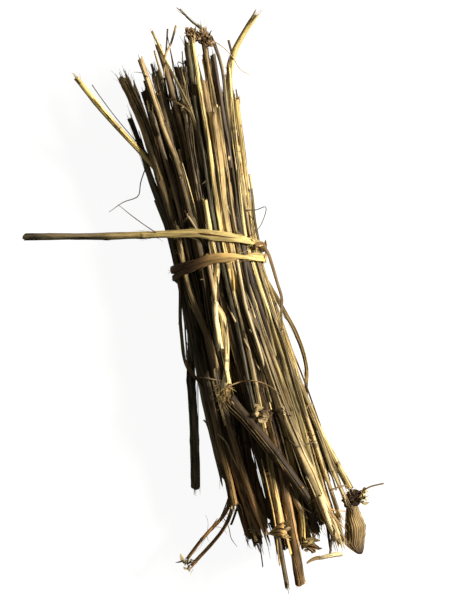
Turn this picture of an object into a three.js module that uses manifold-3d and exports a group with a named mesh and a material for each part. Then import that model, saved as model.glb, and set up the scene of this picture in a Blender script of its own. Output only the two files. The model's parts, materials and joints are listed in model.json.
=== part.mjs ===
// Smudge stick: a bundle of dry stalks that lies on a table, bound by one split stalk.
// Millimetres. +Y runs along the bundle from the cut butts to the tips, +X is to the
// right as seen from above, +Z is up and the table is z = 0.
import * as THREE from "three";
import { mergeVertices } from "three/addons/utils/BufferGeometryUtils.js";
import Module from "manifold-3d";

// Driving dimensions of the bundle
const WAIST_HALF_WIDTH = 19; // inside the binding, across
const WAIST_HALF_HEIGHT = 13; // inside the binding, up and down
const BAND_THICKNESS = 1.2;
const BAND_WIDTH = 3.5;
const CLEARANCE = 0.32; // air between neighbouring pieces
const WAIST_Z = BAND_THICKNESS + 2 * CLEARANCE + WAIST_HALF_HEIGHT; // the bundle's axis above the table
const BAND_REACH = [-12, 18]; // where along Y the stalks stay inside the binding

// A stalk's section and its stations along Y, which are closer together at the binding
const STATIONS = [80, 58, 36, 18, 4, -10, -26, -46, -68, -92, -116];
const STATION_ROOM = 7; // a station this close to a bend or an end is left out
const STALK_SIDES = 6;
const FLAT = Math.cos(Math.PI / STALK_SIDES); // centre to flat side, as a share of the radius
const TIP_TAPER = 0.78; // radius at the tip, as a share of the radius at the butt
const UNEVENNESS = [0.96, 1.06]; // how the radius varies from station to station
const CUT_SLANT = 0.55; // how far a cut end leans, as a share of the radius

// How the core of the bundle opens towards its ends
const CORE_COUNT = 26;
const CORE_RADII = [1.5, 2.2];
const CORE_SPREAD = 0.9; // how much of the waist the core takes up before it settles
const CORE_STRAY = 5; // how far an end strays from its place in the fan
const CORE_BOW = 2.4; // how far a core stalk bows sideways on its way to an end
const TIP_FAN = { y: 85, centre: -1, widen: 1.12 };
const BUTT_FAN = { y: -110, centre: 8, widen: 1.22 };
const FAN_CURVE = 1.5; // above 1 the fan opens late
const CORE_TIPS = [58, 88];
const CORE_BUTTS = [-128, -92];

// How the stalks settle among each other
const SETTLING = {
  rounds: 700,
  freeRounds: 250, // at the end the stalks are only pushed apart
  levelStep: 5, // between the planes in which they are pushed apart
  endRoom: 2, // how far past a stalk's end it still pushes
  stiffness: 0.3,
  pull: 0.06, // towards their routes
  yielding: 0.45, // the share of an overlap by which each of two stalks gives way
};

// Stalks that can be told apart from above, and those that bed the bundle on the table.
// route: [x, y] from tip to butt. layer: 0 is under the bundle and 1 is on top of it.
// endLayers: the layers of the tip and the butt, where they differ. A bed stalk's ends
// come down to the table. girth: [y, share of the radius], where it isn't an even taper.
const BED_ENDS = [-0.6, -0.6];
const NAMED_STALKS = [
  { name: "left_stray_stalk", radius: 1.3, layer: 0.5, endLayers: [0.95, 0.5], colour: "straw",
    route: [[-42.5, 83.7], [-29, 61], [-14.7, 37], [-8, 16], [-4, -10], [2, -102]] },
  { name: "left_thick_stalk", radius: 2.2, layer: 0.8, colour: "brown", girth: [[82, 1.05], [6, 0.8]],
    route: [[-24, 82], [-17, 57], [-12.5, 6], [-13, -50], [-13.5, -106]] },
  { name: "left_straight_stalk", radius: 1.6, layer: 0.9, endLayers: [1, 0.4], colour: "grey",
    route: [[-14.7, 86], [-8.5, 40], [-6.2, 4], [-8, -60], [-10.8, -120]] },
  { name: "left_edge_stalk", radius: 1.5, layer: 0.6, colour: "grey",
    route: [[-24.6, 66], [-18, 4], [-16, -50], [-14, -96]] },
  { name: "left_loose_stalk", radius: 1.9, layer: 0.12, endLayers: [0.2, -0.1], colour: "grey",
    route: [[-9, 52], [-13, 4], [-20, -46], [-29, -97]] },
  { name: "dark_tip_stalk", radius: 1.6, layer: 0.8, endLayers: [0.85, 0.4], colour: "brown",
    route: [[-6.5, 92], [-3, 50], [-3, 4], [-4, -60], [-5, -112]] },
  { name: "thick_dark_stalk", radius: 2.1, layer: 0.75, endLayers: [0.8, 0.5], colour: "grey",
    route: [[5.9, 90], [3.1, 61], [0.5, 4], [0.5, -60], [2, -129]] },
  { name: "bright_tip_stalk", radius: 1.15, layer: 1, colour: "straw",
    route: [[8.1, 90.5], [6.4, 56], [4, 8], [5, -50], [3, -118]] },
  { name: "frayed_tip_stalk", radius: 1.5, layer: 0.85, colour: "brown",
    route: [[12.8, 92.5], [9, 50], [7.5, 4], [12, -60], [14.1, -86], [11.3, -123.6]] },
  { name: "long_butt_stalk", radius: 2.1, layer: 0.9, colour: "brown",
    route: [[10, 72], [7, 4], [6.6, -106], [7, -142]] },
  { name: "purple_brown_stalk", radius: 1.4, layer: 0.9, colour: "brown",
    route: [[15.1, 82.6], [14.2, 59], [10.3, 4], [15, -70], [18.4, -122.5]] },
  { name: "right_pale_stalk", radius: 1.2, layer: 0.85, colour: "straw",
    route: [[20.8, 76.8], [18, 55], [13, 4], [19, -70], [23.6, -126]] },
  { name: "right_bent_stalk", radius: 1.6, layer: 0.75, colour: "straw",
    route: [[37.1, 96.2], [23.7, 81], [17.5, 63], [14.5, 20], [14, 0], [20, -60], [27.2, -130]] },
  { name: "right_edge_stalk", radius: 1.4, layer: 0.6, colour: "straw",
    route: [[21.6, 64], [18.2, 28], [16.5, 4], [19.5, -19], [23.3, -60], [26.9, -80], [35.5, -108]] },
  { name: "thin_dark_stalk", radius: 0.95, layer: 0.95, colour: "grey",
    route: [[4, 66], [2, 4], [2.1, -105], [1.3, -141]] },
  { name: "crossing_thin_stalk", radius: 0.65, layer: 0.7, endLayers: [1.1, 0.7], colour: "straw",
    route: [[-7.7, 95], [0.6, 60], [3, 30], [4.5, -8]] },
  { name: "crown_stalk", radius: 2.4, layer: 1.08, endLayers: [1, 0.92], colour: "brown",
    girth: [[24, 0.4], [-50, 0.5], [-57, 1], [-97, 0.8], [-109, 0.5]],
    route: [[2, 24], [1.4, -4], [-2.5, -12.4], [-4.2, -19.7], [-2.5, -25], [-2.9, -34], [-5.8, -50],
      [-7.5, -57], [3, -77], [12.6, -97], [18, -109]] },
  { name: "crown_left_shoot", radius: 1.25, layer: 0.95, colour: "brown",
    route: [[-14.5, 16], [-16.3, -9], [-13.8, -20], [-10, -33], [-9.4, -48]] },
  { name: "split_strip_outer", radius: 0.85, layer: 0.5, colour: "brown",
    route: [[-9, 10], [-8, -60], [-7.3, -91], [-16, -110], [-37.4, -126.6]] },
  { name: "split_strip_inner", radius: 0.75, layer: 0.4, colour: "brown",
    route: [[-13, -84], [-16, -104], [-38.2, -123.4]] },
  { name: "right_bow_twig", radius: 0.7, layer: 0.5, colour: "grey",
    route: [[17, 12], [18, -6], [26.6, -40], [27.4, -53], [24.5, -66], [24, -74]] },
  { name: "left_bow_twig", radius: 0.7, layer: 0.7, colour: "grey",
    route: [[-16, 14], [-17.5, -8], [-20.8, -28], [-20.8, -43], [-15, -54], [-12, -64]] },
  { name: "right_fan_stalk_1", radius: 1.1, layer: 0.95, colour: "straw",
    route: [[12, 60], [10, 4], [14, -40], [20.5, -112]] },
  { name: "right_fan_stalk_2", radius: 1.0, layer: 0.8, colour: "straw",
    route: [[16, 52], [14.5, 4], [19, -40], [28.5, -118]] },
  { name: "right_fan_stalk_3", radius: 0.95, layer: 0.7, colour: "straw",
    route: [[18, 44], [16.5, 4], [21, -40], [32, -112]] },
  { name: "tip_cross_twig", radius: 0.6, layer: 0.86, endLayers: [0.93, 0.86], colour: "grey",
    route: [[5.1, 103], [9.5, 97], [15.3, 90], [17.5, 80], [16, 50], [13, 20]] },
  { name: "bed_stalk_1", radius: 1.8, layer: 0, colour: "grey", endLayers: BED_ENDS,
    route: [[-15, 74], [-9, 4], [-7, -60], [-6, -104]] },
  { name: "bed_stalk_2", radius: 2.0, layer: 0, colour: "brown", endLayers: BED_ENDS,
    route: [[-5, 84], [-3, 4], [2, -60], [4, -124]] },
  { name: "bed_stalk_3", radius: 1.9, layer: 0, colour: "straw", endLayers: BED_ENDS,
    route: [[6, 78], [3.5, 4], [11, -60], [15, -118]] },
  { name: "bed_stalk_4", radius: 1.7, layer: 0, colour: "grey", endLayers: BED_ENDS,
    route: [[16, 70], [9.5, 4], [19, -60], [25, -106]] },
];

// The binding, as seen from above: the stalk's free end, then the ring's angle (0 is the
// right side, 90 the top) with the place along Y of each turn
const FREE_END = new THREE.Vector3(-78.7, 23.7, 15);
const LIFT_OFF_ANGLE = 104; // where the free stalk leaves the ring
const BAND_TURNS = [
  [104, 9.6], [40, 2.2], [0, -0.4], [-90, -2.6],
  [-180, -4.6], [-268, -1.6], [-330, -4.6], [-352, -5.6],
];
const BAND_STEP_ANGLE = 14;
const BAND_SIDES = 8;
const FREE_STALK_RADIUS = 1.6;
const FREE_STALK_STEPS = 6;
const SPLIT_STEP = 3; // the step of the free stalk from which it is split flat
// The end that is hitched over the first turn: angle, y, lift over the waist
const HITCH = [[-362, -4.2, 0.3], [-366, -1.4, 1.2], [-368, 2.2, 1.7], [-371, 5.4, 1.2]];

// Small pieces on the bundle, as seen from above
const LEAF = { length: 25, width: 9.6, thickness: 1.2, cup: 2.4, neck: 0.35, turn: -0.05 };
// The leaf's own stalk, from inside the leaf's base out to the right
const LEAF_STALK = {
  radius: 0.45,
  route: [[0.4, -3, 0.2], [2.4, -0.4, 1], [7, 1.4, 1.5], [13.9, 2.3, 1.7]],
};
const SEED_HEAD = { x: 5.4, y: -68.4, radius: 3.9, crumple: [0.8, 1], seat: 0.9 };
const BUD = { x: 1.5, y: -116, length: 8.5, radius: 3.6, sides: 10 };
// The bud's outline from its stem to its mouth: out and along, as shares of radius and length
const BUD_PROFILE = [[0, 0], [0.16, 0.02], [0.3, 0.18], [0.85, 0.55], [1, 0.85], [0.8, 1], [0, 0.9]];

const COLOURS = {
  grey: 0x6b6450,
  straw: 0xc2a363,
  brown: 0x6d5334,
  binding: 0x9c7a42,
  leaf: 0x7d5d36,
  seed: 0xa98a52,
};

// Repeatable random numbers from 0 to 1
function makeRandom(seed) {
  let state = seed;
  return () => {
    state = (state + 0x6d2b79f5) | 0;
    let t = Math.imul(state ^ (state >>> 15), 1 | state);
    t = (t + Math.imul(t ^ (t >>> 7), 61 | t)) ^ t;
    return ((t ^ (t >>> 14)) >>> 0) / 4294967296;
  };
}
const random = makeRandom(11);
const between = ([low, high]) => low + (high - low) * random();
const { lerp, clamp, degToRad } = THREE.MathUtils;

// Value at place on a list of [place, value] pairs, straight between them
function along(pairs, place) {
  const rising = pairs[0][0] < pairs[pairs.length - 1][0] ? 1 : -1;
  for (let i = 1; i < pairs.length; i++) {
    const [from, low] = pairs[i - 1];
    const [to, high] = pairs[i];
    if (rising * (place - to) <= 0 || i === pairs.length - 1) {
      return lerp(low, high, clamp((place - from) / (to - from), 0, 1));
    }
  }
}

// A stalk as a chain of points, before it is settled among its neighbours. Its marks are the
// y of its tip, its bends and its butt, xAt and zAt give its place at y, and its radius grows
// from the tip to the butt unless its girth says otherwise.
function makeStalk({ name, colour, radius, girth, marks, xAt, zAt }) {
  const tip = marks[0];
  const butt = marks[marks.length - 1];
  const shares = girth ?? [[tip, TIP_TAPER], [butt, 1]];
  const isFree = (station) =>
    station < tip && station > butt && marks.every((mark) => Math.abs(mark - station) > STATION_ROOM);
  const y = [...marks, ...STATIONS.filter(isFree)].sort((a, b) => b - a);
  const r = y.map((v) => radius * along(shares, v) * between(UNEVENNESS));
  const x = y.map(xAt);
  const z = y.map(zAt);
  const slants = [between([-1, 1]), between([-1, 1])];
  return { name, colour, y, r, x, z, homeX: [...x], homeZ: [...z], slants };
}

function namedStalk({ name, colour, radius, girth, layer, endLayers = [layer, layer], route }) {
  const byY = route.map(([x, y]) => [y, x]);
  const marks = route.map(([, y]) => y);
  const waistX = along(byY, 0) / WAIST_HALF_WIDTH;
  const rise = WAIST_HALF_HEIGHT * Math.sqrt(Math.max(0.1, 1 - waistX * waistX));
  const [tipLayer, buttLayer] = endLayers;
  const layers = [
    [TIP_FAN.y, tipLayer], [BAND_REACH[1], layer], [BAND_REACH[0], layer], [BUTT_FAN.y, buttLayer],
  ];
  return makeStalk({
    name, colour, radius, girth, marks,
    xAt: (y) => along(byY, y),
    zAt: (y) => WAIST_Z + rise * (2 * along(layers, y) - 1),
  });
}

// Core stalks start on a sunflower pattern across the waist and fan out to both ends
function coreStalk(i) {
  const turn = i * Math.PI * (3 - Math.sqrt(5));
  const out = CORE_SPREAD * Math.sqrt((i + 0.5) / CORE_COUNT);
  const across = WAIST_HALF_WIDTH * out * Math.cos(turn);
  const rise = WAIST_HALF_HEIGHT * out * Math.sin(turn);
  const halves = [TIP_FAN, BUTT_FAN].map((fan) => ({
    ...fan,
    stray: between([-CORE_STRAY, CORE_STRAY]),
    bow: between([-CORE_BOW, CORE_BOW]),
  }));
  const xAt = (y) => {
    const half = halves[y > 0 ? 0 : 1];
    const opened = Math.abs(y / half.y) ** FAN_CURVE;
    const shift = (half.centre + half.stray) * opened + half.bow * Math.sin(Math.PI * opened);
    return across * lerp(1, half.widen, opened) + shift;
  };
  return makeStalk({
    name: `core_stalk_${String(i + 1).padStart(2, "0")}`,
    colour: ["grey", "straw", "brown"][i % 3],
    radius: between(CORE_RADII),
    marks: [between(CORE_TIPS), between(CORE_BUTTS)],
    xAt,
    zAt: () => WAIST_Z + rise,
  });
}

// Moves the point at share t between points k and k + 1 of a stalk by (dx, dz)
function nudge(stalk, { k, t }, dx, dz) {
  const scale = 1 / ((1 - t) * (1 - t) + t * t);
  stalk.x[k] += dx * (1 - t) * scale;
  stalk.z[k] += dz * (1 - t) * scale;
  stalk.x[k + 1] += dx * t * scale;
  stalk.z[k + 1] += dz * t * scale;
}

// Where a stalk crosses the plane y = level, with the radius of that slanting section
function crossing(stalk, level) {
  const { x, y, z, r } = stalk;
  const { endRoom } = SETTLING;
  if (level > y[0] + endRoom || level < y[y.length - 1] - endRoom) return null;
  let k = 0;
  while (k < y.length - 2 && level < y[k + 1]) k++;
  const t = (y[k] - level) / (y[k] - y[k + 1]);
  const slope = Math.hypot(x[k] - x[k + 1], z[k] - z[k + 1]) / (y[k] - y[k + 1]);
  return {
    stalk, k, t,
    x: lerp(x[k], x[k + 1], t),
    z: lerp(z[k], z[k + 1], t),
    r: lerp(r[k], r[k + 1], t) * Math.hypot(1, slope),
  };
}

// Pushes apart the stalks that overlap at one level
function part(stalks, level) {
  const met = stalks.map((s) => crossing(s, level)).filter(Boolean);
  for (let i = 0; i < met.length; i++) {
    for (let j = i + 1; j < met.length; j++) {
      const a = met[i];
      const b = met[j];
      const dx = b.x - a.x;
      const dz = b.z - a.z;
      const room = a.r + b.r + CLEARANCE;
      if (Math.abs(dx) > room || Math.abs(dz) > room) continue;
      const apart = Math.hypot(dx, dz) || 0.01;
      const push = (SETTLING.yielding * (room - apart)) / apart;
      if (push <= 0) continue;
      nudge(a.stalk, a, -dx * push, -dz * push);
      nudge(b.stalk, b, dx * push, dz * push);
    }
  }
}

// Draws a stalk into the oval that the binding leaves it at one level
function gather(stalk, level) {
  const at = crossing(stalk, level);
  if (!at) return;
  const x = at.x / (WAIST_HALF_WIDTH - at.r);
  const z = (at.z - WAIST_Z) / (WAIST_HALF_HEIGHT - at.r);
  const out = Math.hypot(x, z);
  if (out > 1) nudge(stalk, at, at.x * (1 / out - 1), (at.z - WAIST_Z) * (1 / out - 1));
}

// Springs a stalk back towards its own bends and its route
function spring(stalk, stiffness, pull) {
  const { x, z, y, homeX, homeZ } = stalk;
  for (let k = 1; k < y.length - 1; k++) {
    const t = (y[k - 1] - y[k]) / (y[k - 1] - y[k + 1]);
    const bow = (chain) => chain[k] - lerp(chain[k - 1], chain[k + 1], t);
    x[k] += stiffness * (bow(homeX) - bow(x));
    z[k] += stiffness * (bow(homeZ) - bow(z));
  }
  for (let k = 0; k < y.length; k++) {
    x[k] += pull * (homeX[k] - x[k]);
    z[k] += pull * (homeZ[k] - z[k]);
  }
}

function stayOnTable(stalk) {
  stalk.z = stalk.z.map((z, k) => Math.max(z, stalk.r[k] * FLAT));
}

// Settles the stalks: they keep their routes as well as their neighbours,
// the binding and the table allow
function settle(stalks) {
  const { rounds, freeRounds, levelStep, stiffness, pull } = SETTLING;
  const highest = Math.max(...stalks.map((s) => s.y[0]));
  const lowest = Math.min(...stalks.map((s) => s.y[s.y.length - 1]));
  const levels = [];
  for (let level = highest; level > lowest; level -= levelStep) levels.push(level);
  const bandLevels = levels.filter((v) => v >= BAND_REACH[0] && v <= BAND_REACH[1]);
  for (let round = 0; round < rounds; round++) {
    const springing = Math.max(0, 1 - round / (rounds - freeRounds));
    for (const stalk of stalks) spring(stalk, stiffness * springing, pull * springing);
    for (const level of levels) part(stalks, level);
    for (const stalk of stalks) bandLevels.forEach((level) => gather(stalk, level));
    stalks.forEach(stayOnTable);
  }
}

// A closed tube through sections of { centre, across, up, lean }: across and up are the half
// axes of the section, and an end section leans by its share of across along the tube
function tube(sections, sides) {
  const steps = sections.length - 1;
  const flatSideDown = Math.PI / sides;
  const geometry = new THREE.CylinderGeometry(1, 1, 1, sides, steps, false, flatSideDown);
  const position = geometry.attributes.position;
  const v = new THREE.Vector3();
  for (let i = 0; i < position.count; i++) {
    v.fromBufferAttribute(position, i);
    const { centre, across, up, lean } = sections[Math.round((0.5 - v.y) * steps)];
    const { x, z } = v;
    v.copy(centre).addScaledVector(across, x).addScaledVector(up, z);
    if (lean) v.addScaledVector(lean, x);
    position.setXYZ(i, v.x, v.y, v.z);
  }
  return geometry;
}

function stalkGeometry({ x, y, z, r, slants }) {
  const points = x.map((_, k) => new THREE.Vector3(x[k], y[k], z[k]));
  const last = points.length - 1;
  const sections = points.map((centre, k) => {
    const tipward = points[Math.max(k - 1, 0)].clone().sub(points[Math.min(k + 1, last)]).normalize();
    const across = tipward.clone().cross(new THREE.Vector3(0, 0, 1)).normalize();
    const up = across.clone().cross(tipward);
    const slant = k === 0 ? slants[0] : k === last ? slants[1] : 0;
    return {
      centre,
      across: across.multiplyScalar(r[k]),
      up: up.multiplyScalar(r[k]),
      lean: tipward.multiplyScalar(slant * CUT_SLANT * r[k]),
    };
  });
  return tube(sections, STALK_SIDES);
}

// One closed body from closed bodies that overlap
const solids = await Module();
solids.setup();
function joined(...geometries) {
  const bodies = geometries.map((geometry) => {
    geometry.deleteAttribute("normal");
    geometry.deleteAttribute("uv");
    const merged = mergeVertices(geometry);
    const vertProperties = merged.attributes.position.array;
    const triVerts = Uint32Array.from(merged.index.array);
    return new solids.Manifold(new solids.Mesh({ numProp: 3, vertProperties, triVerts }));
  });
  const { vertProperties, triVerts } = bodies.reduce((whole, body) => whole.add(body)).getMesh();
  const geometry = new THREE.BufferGeometry();
  geometry.setAttribute("position", new THREE.BufferAttribute(vertProperties, 3));
  geometry.setIndex(new THREE.BufferAttribute(triVerts, 1));
  geometry.computeVertexNormals();
  return geometry;
}

// The binding: a stalk that is whole at its free end and split flat where it is wound
// round the waist, with its last end hitched over the first turn
function bindingGeometry() {
  const ring = (degrees, y, lift) => {
    const out = CLEARANCE + BAND_THICKNESS / 2 + lift;
    const cos = Math.cos(degToRad(degrees));
    const sin = Math.sin(degToRad(degrees));
    const normal = new THREE.Vector3(WAIST_HALF_HEIGHT * cos, 0, WAIST_HALF_WIDTH * sin).normalize();
    const centre = new THREE.Vector3(WAIST_HALF_WIDTH * cos, y, WAIST_Z + WAIST_HALF_HEIGHT * sin);
    return { centre: centre.addScaledVector(normal, out), normal };
  };
  const path = [];
  const liftOff = ring(LIFT_OFF_ANGLE, BAND_TURNS[0][1], 0);
  for (let i = 0; i < FREE_STALK_STEPS; i++) {
    const centre = FREE_END.clone().lerp(liftOff.centre, i / FREE_STALK_STEPS);
    const split = clamp((i - SPLIT_STEP) / (FREE_STALK_STEPS - SPLIT_STEP), 0, 1);
    path.push({ centre, normal: liftOff.normal, split });
  }
  const lastAngle = BAND_TURNS[BAND_TURNS.length - 1][0];
  const turnSteps = Math.round((LIFT_OFF_ANGLE - lastAngle) / BAND_STEP_ANGLE);
  for (let i = 0; i <= turnSteps; i++) {
    const angle = lerp(LIFT_OFF_ANGLE, lastAngle, i / turnSteps);
    path.push({ ...ring(angle, along(BAND_TURNS, angle), 0), split: 1 });
  }
  for (const [angle, y, lift] of HITCH) path.push({ ...ring(angle, y, lift), split: 1 });
  const last = path.length - 1;
  const sections = path.map(({ centre, normal, split }, k) => {
    const before = path[Math.max(k - 1, 0)].centre;
    const after = path[Math.min(k + 1, last)].centre;
    const back = before.clone().sub(after).normalize();
    const across = back.clone().cross(normal).normalize();
    const up = across.clone().cross(back);
    return {
      centre,
      across: across.multiplyScalar(lerp(FREE_STALK_RADIUS, BAND_WIDTH / 2, split)),
      up: up.multiplyScalar(lerp(FREE_STALK_RADIUS, BAND_THICKNESS / 2, split)),
    };
  });
  return tube(sections, BAND_SIDES);
}

// A dry leaf with its base at the origin: a thin lens, cupped across, with a narrow base
function leafGeometry({ length, width, thickness, cup, neck }) {
  const geometry = new THREE.SphereGeometry(1, 12, 10);
  const position = geometry.attributes.position;
  for (let i = 0; i < position.count; i++) {
    const across = position.getX(i) * (1 - neck * clamp(position.getY(i), 0, 1));
    const up = (position.getZ(i) * thickness) / 2 - cup * across * across;
    position.setXYZ(i, (across * width) / 2, ((position.getY(i) - 1) * length) / 2, up);
  }
  return geometry;
}

function leafStalkGeometry({ radius, route }) {
  const [x, y, z] = [0, 1, 2].map((axis) => route.map((point) => point[axis]));
  return stalkGeometry({ x, y, z, r: route.map(() => radius), slants: [0, 0] });
}

// A dry seed head: a lumpy ball of crumpled bracts
function seedHeadGeometry({ radius, crumple }) {
  const ball = new THREE.IcosahedronGeometry(radius, 1);
  ball.deleteAttribute("normal");
  ball.deleteAttribute("uv");
  const geometry = mergeVertices(ball);
  const position = geometry.attributes.position;
  const v = new THREE.Vector3();
  for (let i = 0; i < position.count; i++) {
    v.fromBufferAttribute(position, i).multiplyScalar(between(crumple));
    position.setXYZ(i, v.x, v.y, v.z);
  }
  return geometry;
}

// A bud: a bell of bracts that opens away from its stem
function budGeometry({ length, radius, sides }) {
  const outline = BUD_PROFILE.map(([out, up]) => new THREE.Vector2(out * radius, up * length));
  return new THREE.LatheGeometry(outline, sides);
}

const stalks = [
  ...NAMED_STALKS.map(namedStalk),
  ...Array.from({ length: CORE_COUNT }, (_, i) => coreStalk(i)),
];
settle(stalks);

// Height at which a ball over (x, y) comes to rest on the stalks
function restOn(x, y, radius) {
  const slices = [-0.9, -0.6, -0.3, 0, 0.3, 0.6, 0.9];
  const heights = slices.flatMap((share) => {
    const slice = radius * Math.sqrt(1 - share * share);
    const under = stalks.map((stalk) => crossing(stalk, y + share * radius)).filter(Boolean);
    return under.map((at) => at.z + Math.sqrt((slice + at.r + CLEARANCE) ** 2 - (at.x - x) ** 2));
  });
  return Math.max(...heights.filter((height) => height > 0));
}

const bundle = new THREE.Group();
function addPiece(name, geometry, colour) {
  const material = new THREE.MeshStandardMaterial({ color: COLOURS[colour], roughness: 0.85, metalness: 0 });
  const mesh = new THREE.Mesh(geometry, material);
  mesh.name = name;
  bundle.add(mesh);
  return mesh;
}

for (const stalk of stalks) addPiece(stalk.name, stalkGeometry(stalk), stalk.colour);

addPiece("binding", bindingGeometry(), "binding");

// The leaf hangs on from the butt of its stalk, just past the cut
const leafStalk = stalks.find((s) => s.name === "right_edge_stalk");
const leafBase = (chain) => chain[chain.length - 1];
const leafGap = CLEARANCE + CUT_SLANT * leafBase(leafStalk.r);
const leaf = addPiece("dry_leaf", joined(leafGeometry(LEAF), leafStalkGeometry(LEAF_STALK)), "leaf");
leaf.position.set(leafBase(leafStalk.x), leafBase(leafStalk.y) - leafGap, leafBase(leafStalk.z));
leaf.rotation.z = LEAF.turn;

const seedHead = addPiece("seed_head", seedHeadGeometry(SEED_HEAD), "seed");
const seatRadius = SEED_HEAD.seat * SEED_HEAD.radius;
seedHead.position.set(SEED_HEAD.x, SEED_HEAD.y, restOn(SEED_HEAD.x, SEED_HEAD.y, seatRadius));

// The bud lies on its side, with its mouth to the right
const bud = addPiece("bud", budGeometry(BUD), "seed");
const budStem = BUD.x - BUD.length / 2;
const budSeats = BUD_PROFILE.filter(([out]) => out > 0).map(([out, up]) =>
  restOn(budStem + up * BUD.length, BUD.y, out * BUD.radius),
);
bud.position.set(budStem, BUD.y, Math.max(...budSeats));
bud.rotation.z = -Math.PI / 2;

// The origin is under the middle of the whole piece, on the table
const box = new THREE.Box3().setFromObject(bundle);
const middle = box.getCenter(new THREE.Vector3());
bundle.position.set(-middle.x, -middle.y, -box.min.z);

export default bundle;
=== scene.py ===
"""Looks of a smudge stick: a bundle of dry stalks, tied at its waist with a split stalk.

Each stalk of the frame gets a ribbed, barked and torn skin along its own solid's line. The thin stems,
fibres and litter that lie between and on the stalks are joined meshes.
"""

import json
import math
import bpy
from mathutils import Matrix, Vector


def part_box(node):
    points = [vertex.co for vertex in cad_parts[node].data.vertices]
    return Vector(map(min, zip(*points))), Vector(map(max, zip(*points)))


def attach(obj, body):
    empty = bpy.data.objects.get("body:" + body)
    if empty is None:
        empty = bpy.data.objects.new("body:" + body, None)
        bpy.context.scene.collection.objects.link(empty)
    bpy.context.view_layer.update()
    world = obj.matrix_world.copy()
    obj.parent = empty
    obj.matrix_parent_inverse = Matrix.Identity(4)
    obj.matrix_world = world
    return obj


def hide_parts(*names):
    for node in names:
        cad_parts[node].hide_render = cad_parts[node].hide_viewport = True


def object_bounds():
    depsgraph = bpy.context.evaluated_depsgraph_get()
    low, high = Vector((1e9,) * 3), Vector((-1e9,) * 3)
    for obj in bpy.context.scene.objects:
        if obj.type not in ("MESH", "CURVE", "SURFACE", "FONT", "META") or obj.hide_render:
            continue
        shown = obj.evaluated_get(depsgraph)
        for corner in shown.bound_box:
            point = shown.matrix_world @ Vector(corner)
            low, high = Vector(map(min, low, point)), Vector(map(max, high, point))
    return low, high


bl_info = {
    "name": "Smudge stick",
    "version": (1, 0, 0),
    "blender": (4, 5, 0),
    "location": "View3D > Sidebar > Smudge stick",
    "description": "Dresses a tied bundle of dry stalks with bark, fibres and leaf bits, and lights it",
    "category": "Object",
}

import bmesh
import bpy
import numpy as np
from bpy.props import FloatProperty, FloatVectorProperty, IntProperty, PointerProperty
from mathutils import Vector
from mathutils.bvhtree import BVHTree

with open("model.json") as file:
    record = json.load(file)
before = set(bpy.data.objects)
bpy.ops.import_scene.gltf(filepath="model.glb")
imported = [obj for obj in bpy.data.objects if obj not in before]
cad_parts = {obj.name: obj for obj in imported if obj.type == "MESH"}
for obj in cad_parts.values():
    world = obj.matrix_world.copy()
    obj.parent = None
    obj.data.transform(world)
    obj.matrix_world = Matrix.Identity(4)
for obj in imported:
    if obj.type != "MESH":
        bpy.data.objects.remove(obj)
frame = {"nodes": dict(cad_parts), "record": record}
CAD_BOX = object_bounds()

NODES = frame["nodes"]
SLOTS = {part["node"]: part["material_slot"] for part in frame["record"]["subparts"]}
STALKS = [node for node, slot in SLOTS.items() if slot.startswith("stalk_")]

MM = 0.001
UP = np.array([0.0, 0.0, 1.0])

# The photograph: its scale at the bundle, the bundle's lean in it, and where its middle and the tie are.
PIXEL = 0.42 * MM
LEAN = math.radians(11.5)
TIE_PIXEL = (217, 255)
MIDDLE_PIXEL = (237, 300)
IMAGE_HEIGHT = 600

# The tie passes under the bundle a little nearer the butts than it passes over it.
TIE_SLANT = 2.6 * MM
# What counts as the tie's lowest stretch.
TIE_LOWEST = 0.3 * MM

# The tie's room: half its width and height inside, and how far along the bundle its turns reach.
WAIST_HALF_WIDTH = 19 * MM
WAIST_HALF_HEIGHT = 13 * MM
WAIST_HALF_LENGTH = 15 * MM

# The gap along a solid that parts one of its rings from the next.
RING_GAP = 1.6 * MM
LEAF_RING_GAP = 1.0 * MM
WELD = 1e-6
# Nothing lies lower over the floor than this.
FLOOR_GAP = 0.02 * MM
# Grids are made a few at a time, because a grid takes longer to make in a large mesh.
BATCH = 24
# Edges that bend by more than this stay sharp.
CREASE = math.radians(50)


# Reading the frame

def solid_points(node):
    """The corners of a node's solid, each once."""
    mesh = NODES[node].data
    points = np.empty(len(mesh.vertices) * 3)
    mesh.vertices.foreach_get("co", points)
    return np.unique(points.reshape(-1, 3).round(7), axis=0)


def solid_rings(node, gap):
    """A solid's corners as the rings that it was lofted through, from the tips' end to the butts' end."""
    points = solid_points(node)
    points = points[np.argsort(-points[:, 1])]
    breaks = np.nonzero(-np.diff(points[:, 1]) > gap)[0] + 1
    return np.split(points, breaks)


def stalk_line(node):
    """A stalk's centres and radii, a row of x, y, z and radius for each ring of its solid."""
    rows = []
    for ring in solid_rings(node, RING_GAP):
        centre = ring.mean(axis=0)
        rows.append([*centre, np.median(np.linalg.norm(ring - centre, axis=1))])
    return np.array(rows)


def tie_centre():
    """Where the photograph's tie pixel is, from the tie's lowest stretch."""
    points = solid_points("binding")
    lowest = points[points[:, 2] < points[:, 2].min() + TIE_LOWEST]
    return lowest[:, 0].mean(), lowest[:, 1].mean() + TIE_SLANT


TIE_X, TIE_Y = tie_centre()
WAIST_Z = (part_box("binding")[0][2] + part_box("binding")[1][2]) / 2
LINES = {node: stalk_line(node) for node in STALKS}


def on_photo(u, v):
    """The x and y of a pixel of the photograph."""
    right = (u - TIE_PIXEL[0]) * PIXEL
    above = (TIE_PIXEL[1] - v) * PIXEL
    x = TIE_X + right * math.cos(LEAN) + above * math.sin(LEAN)
    y = TIE_Y - right * math.sin(LEAN) + above * math.cos(LEAN)
    return x, y


def solids_tree():
    """A search tree over all the solids."""
    mesh = bmesh.new()
    for node in NODES:
        mesh.from_mesh(NODES[node].data)
    tree = BVHTree.FromBMesh(mesh)
    mesh.free()
    return tree


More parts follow.
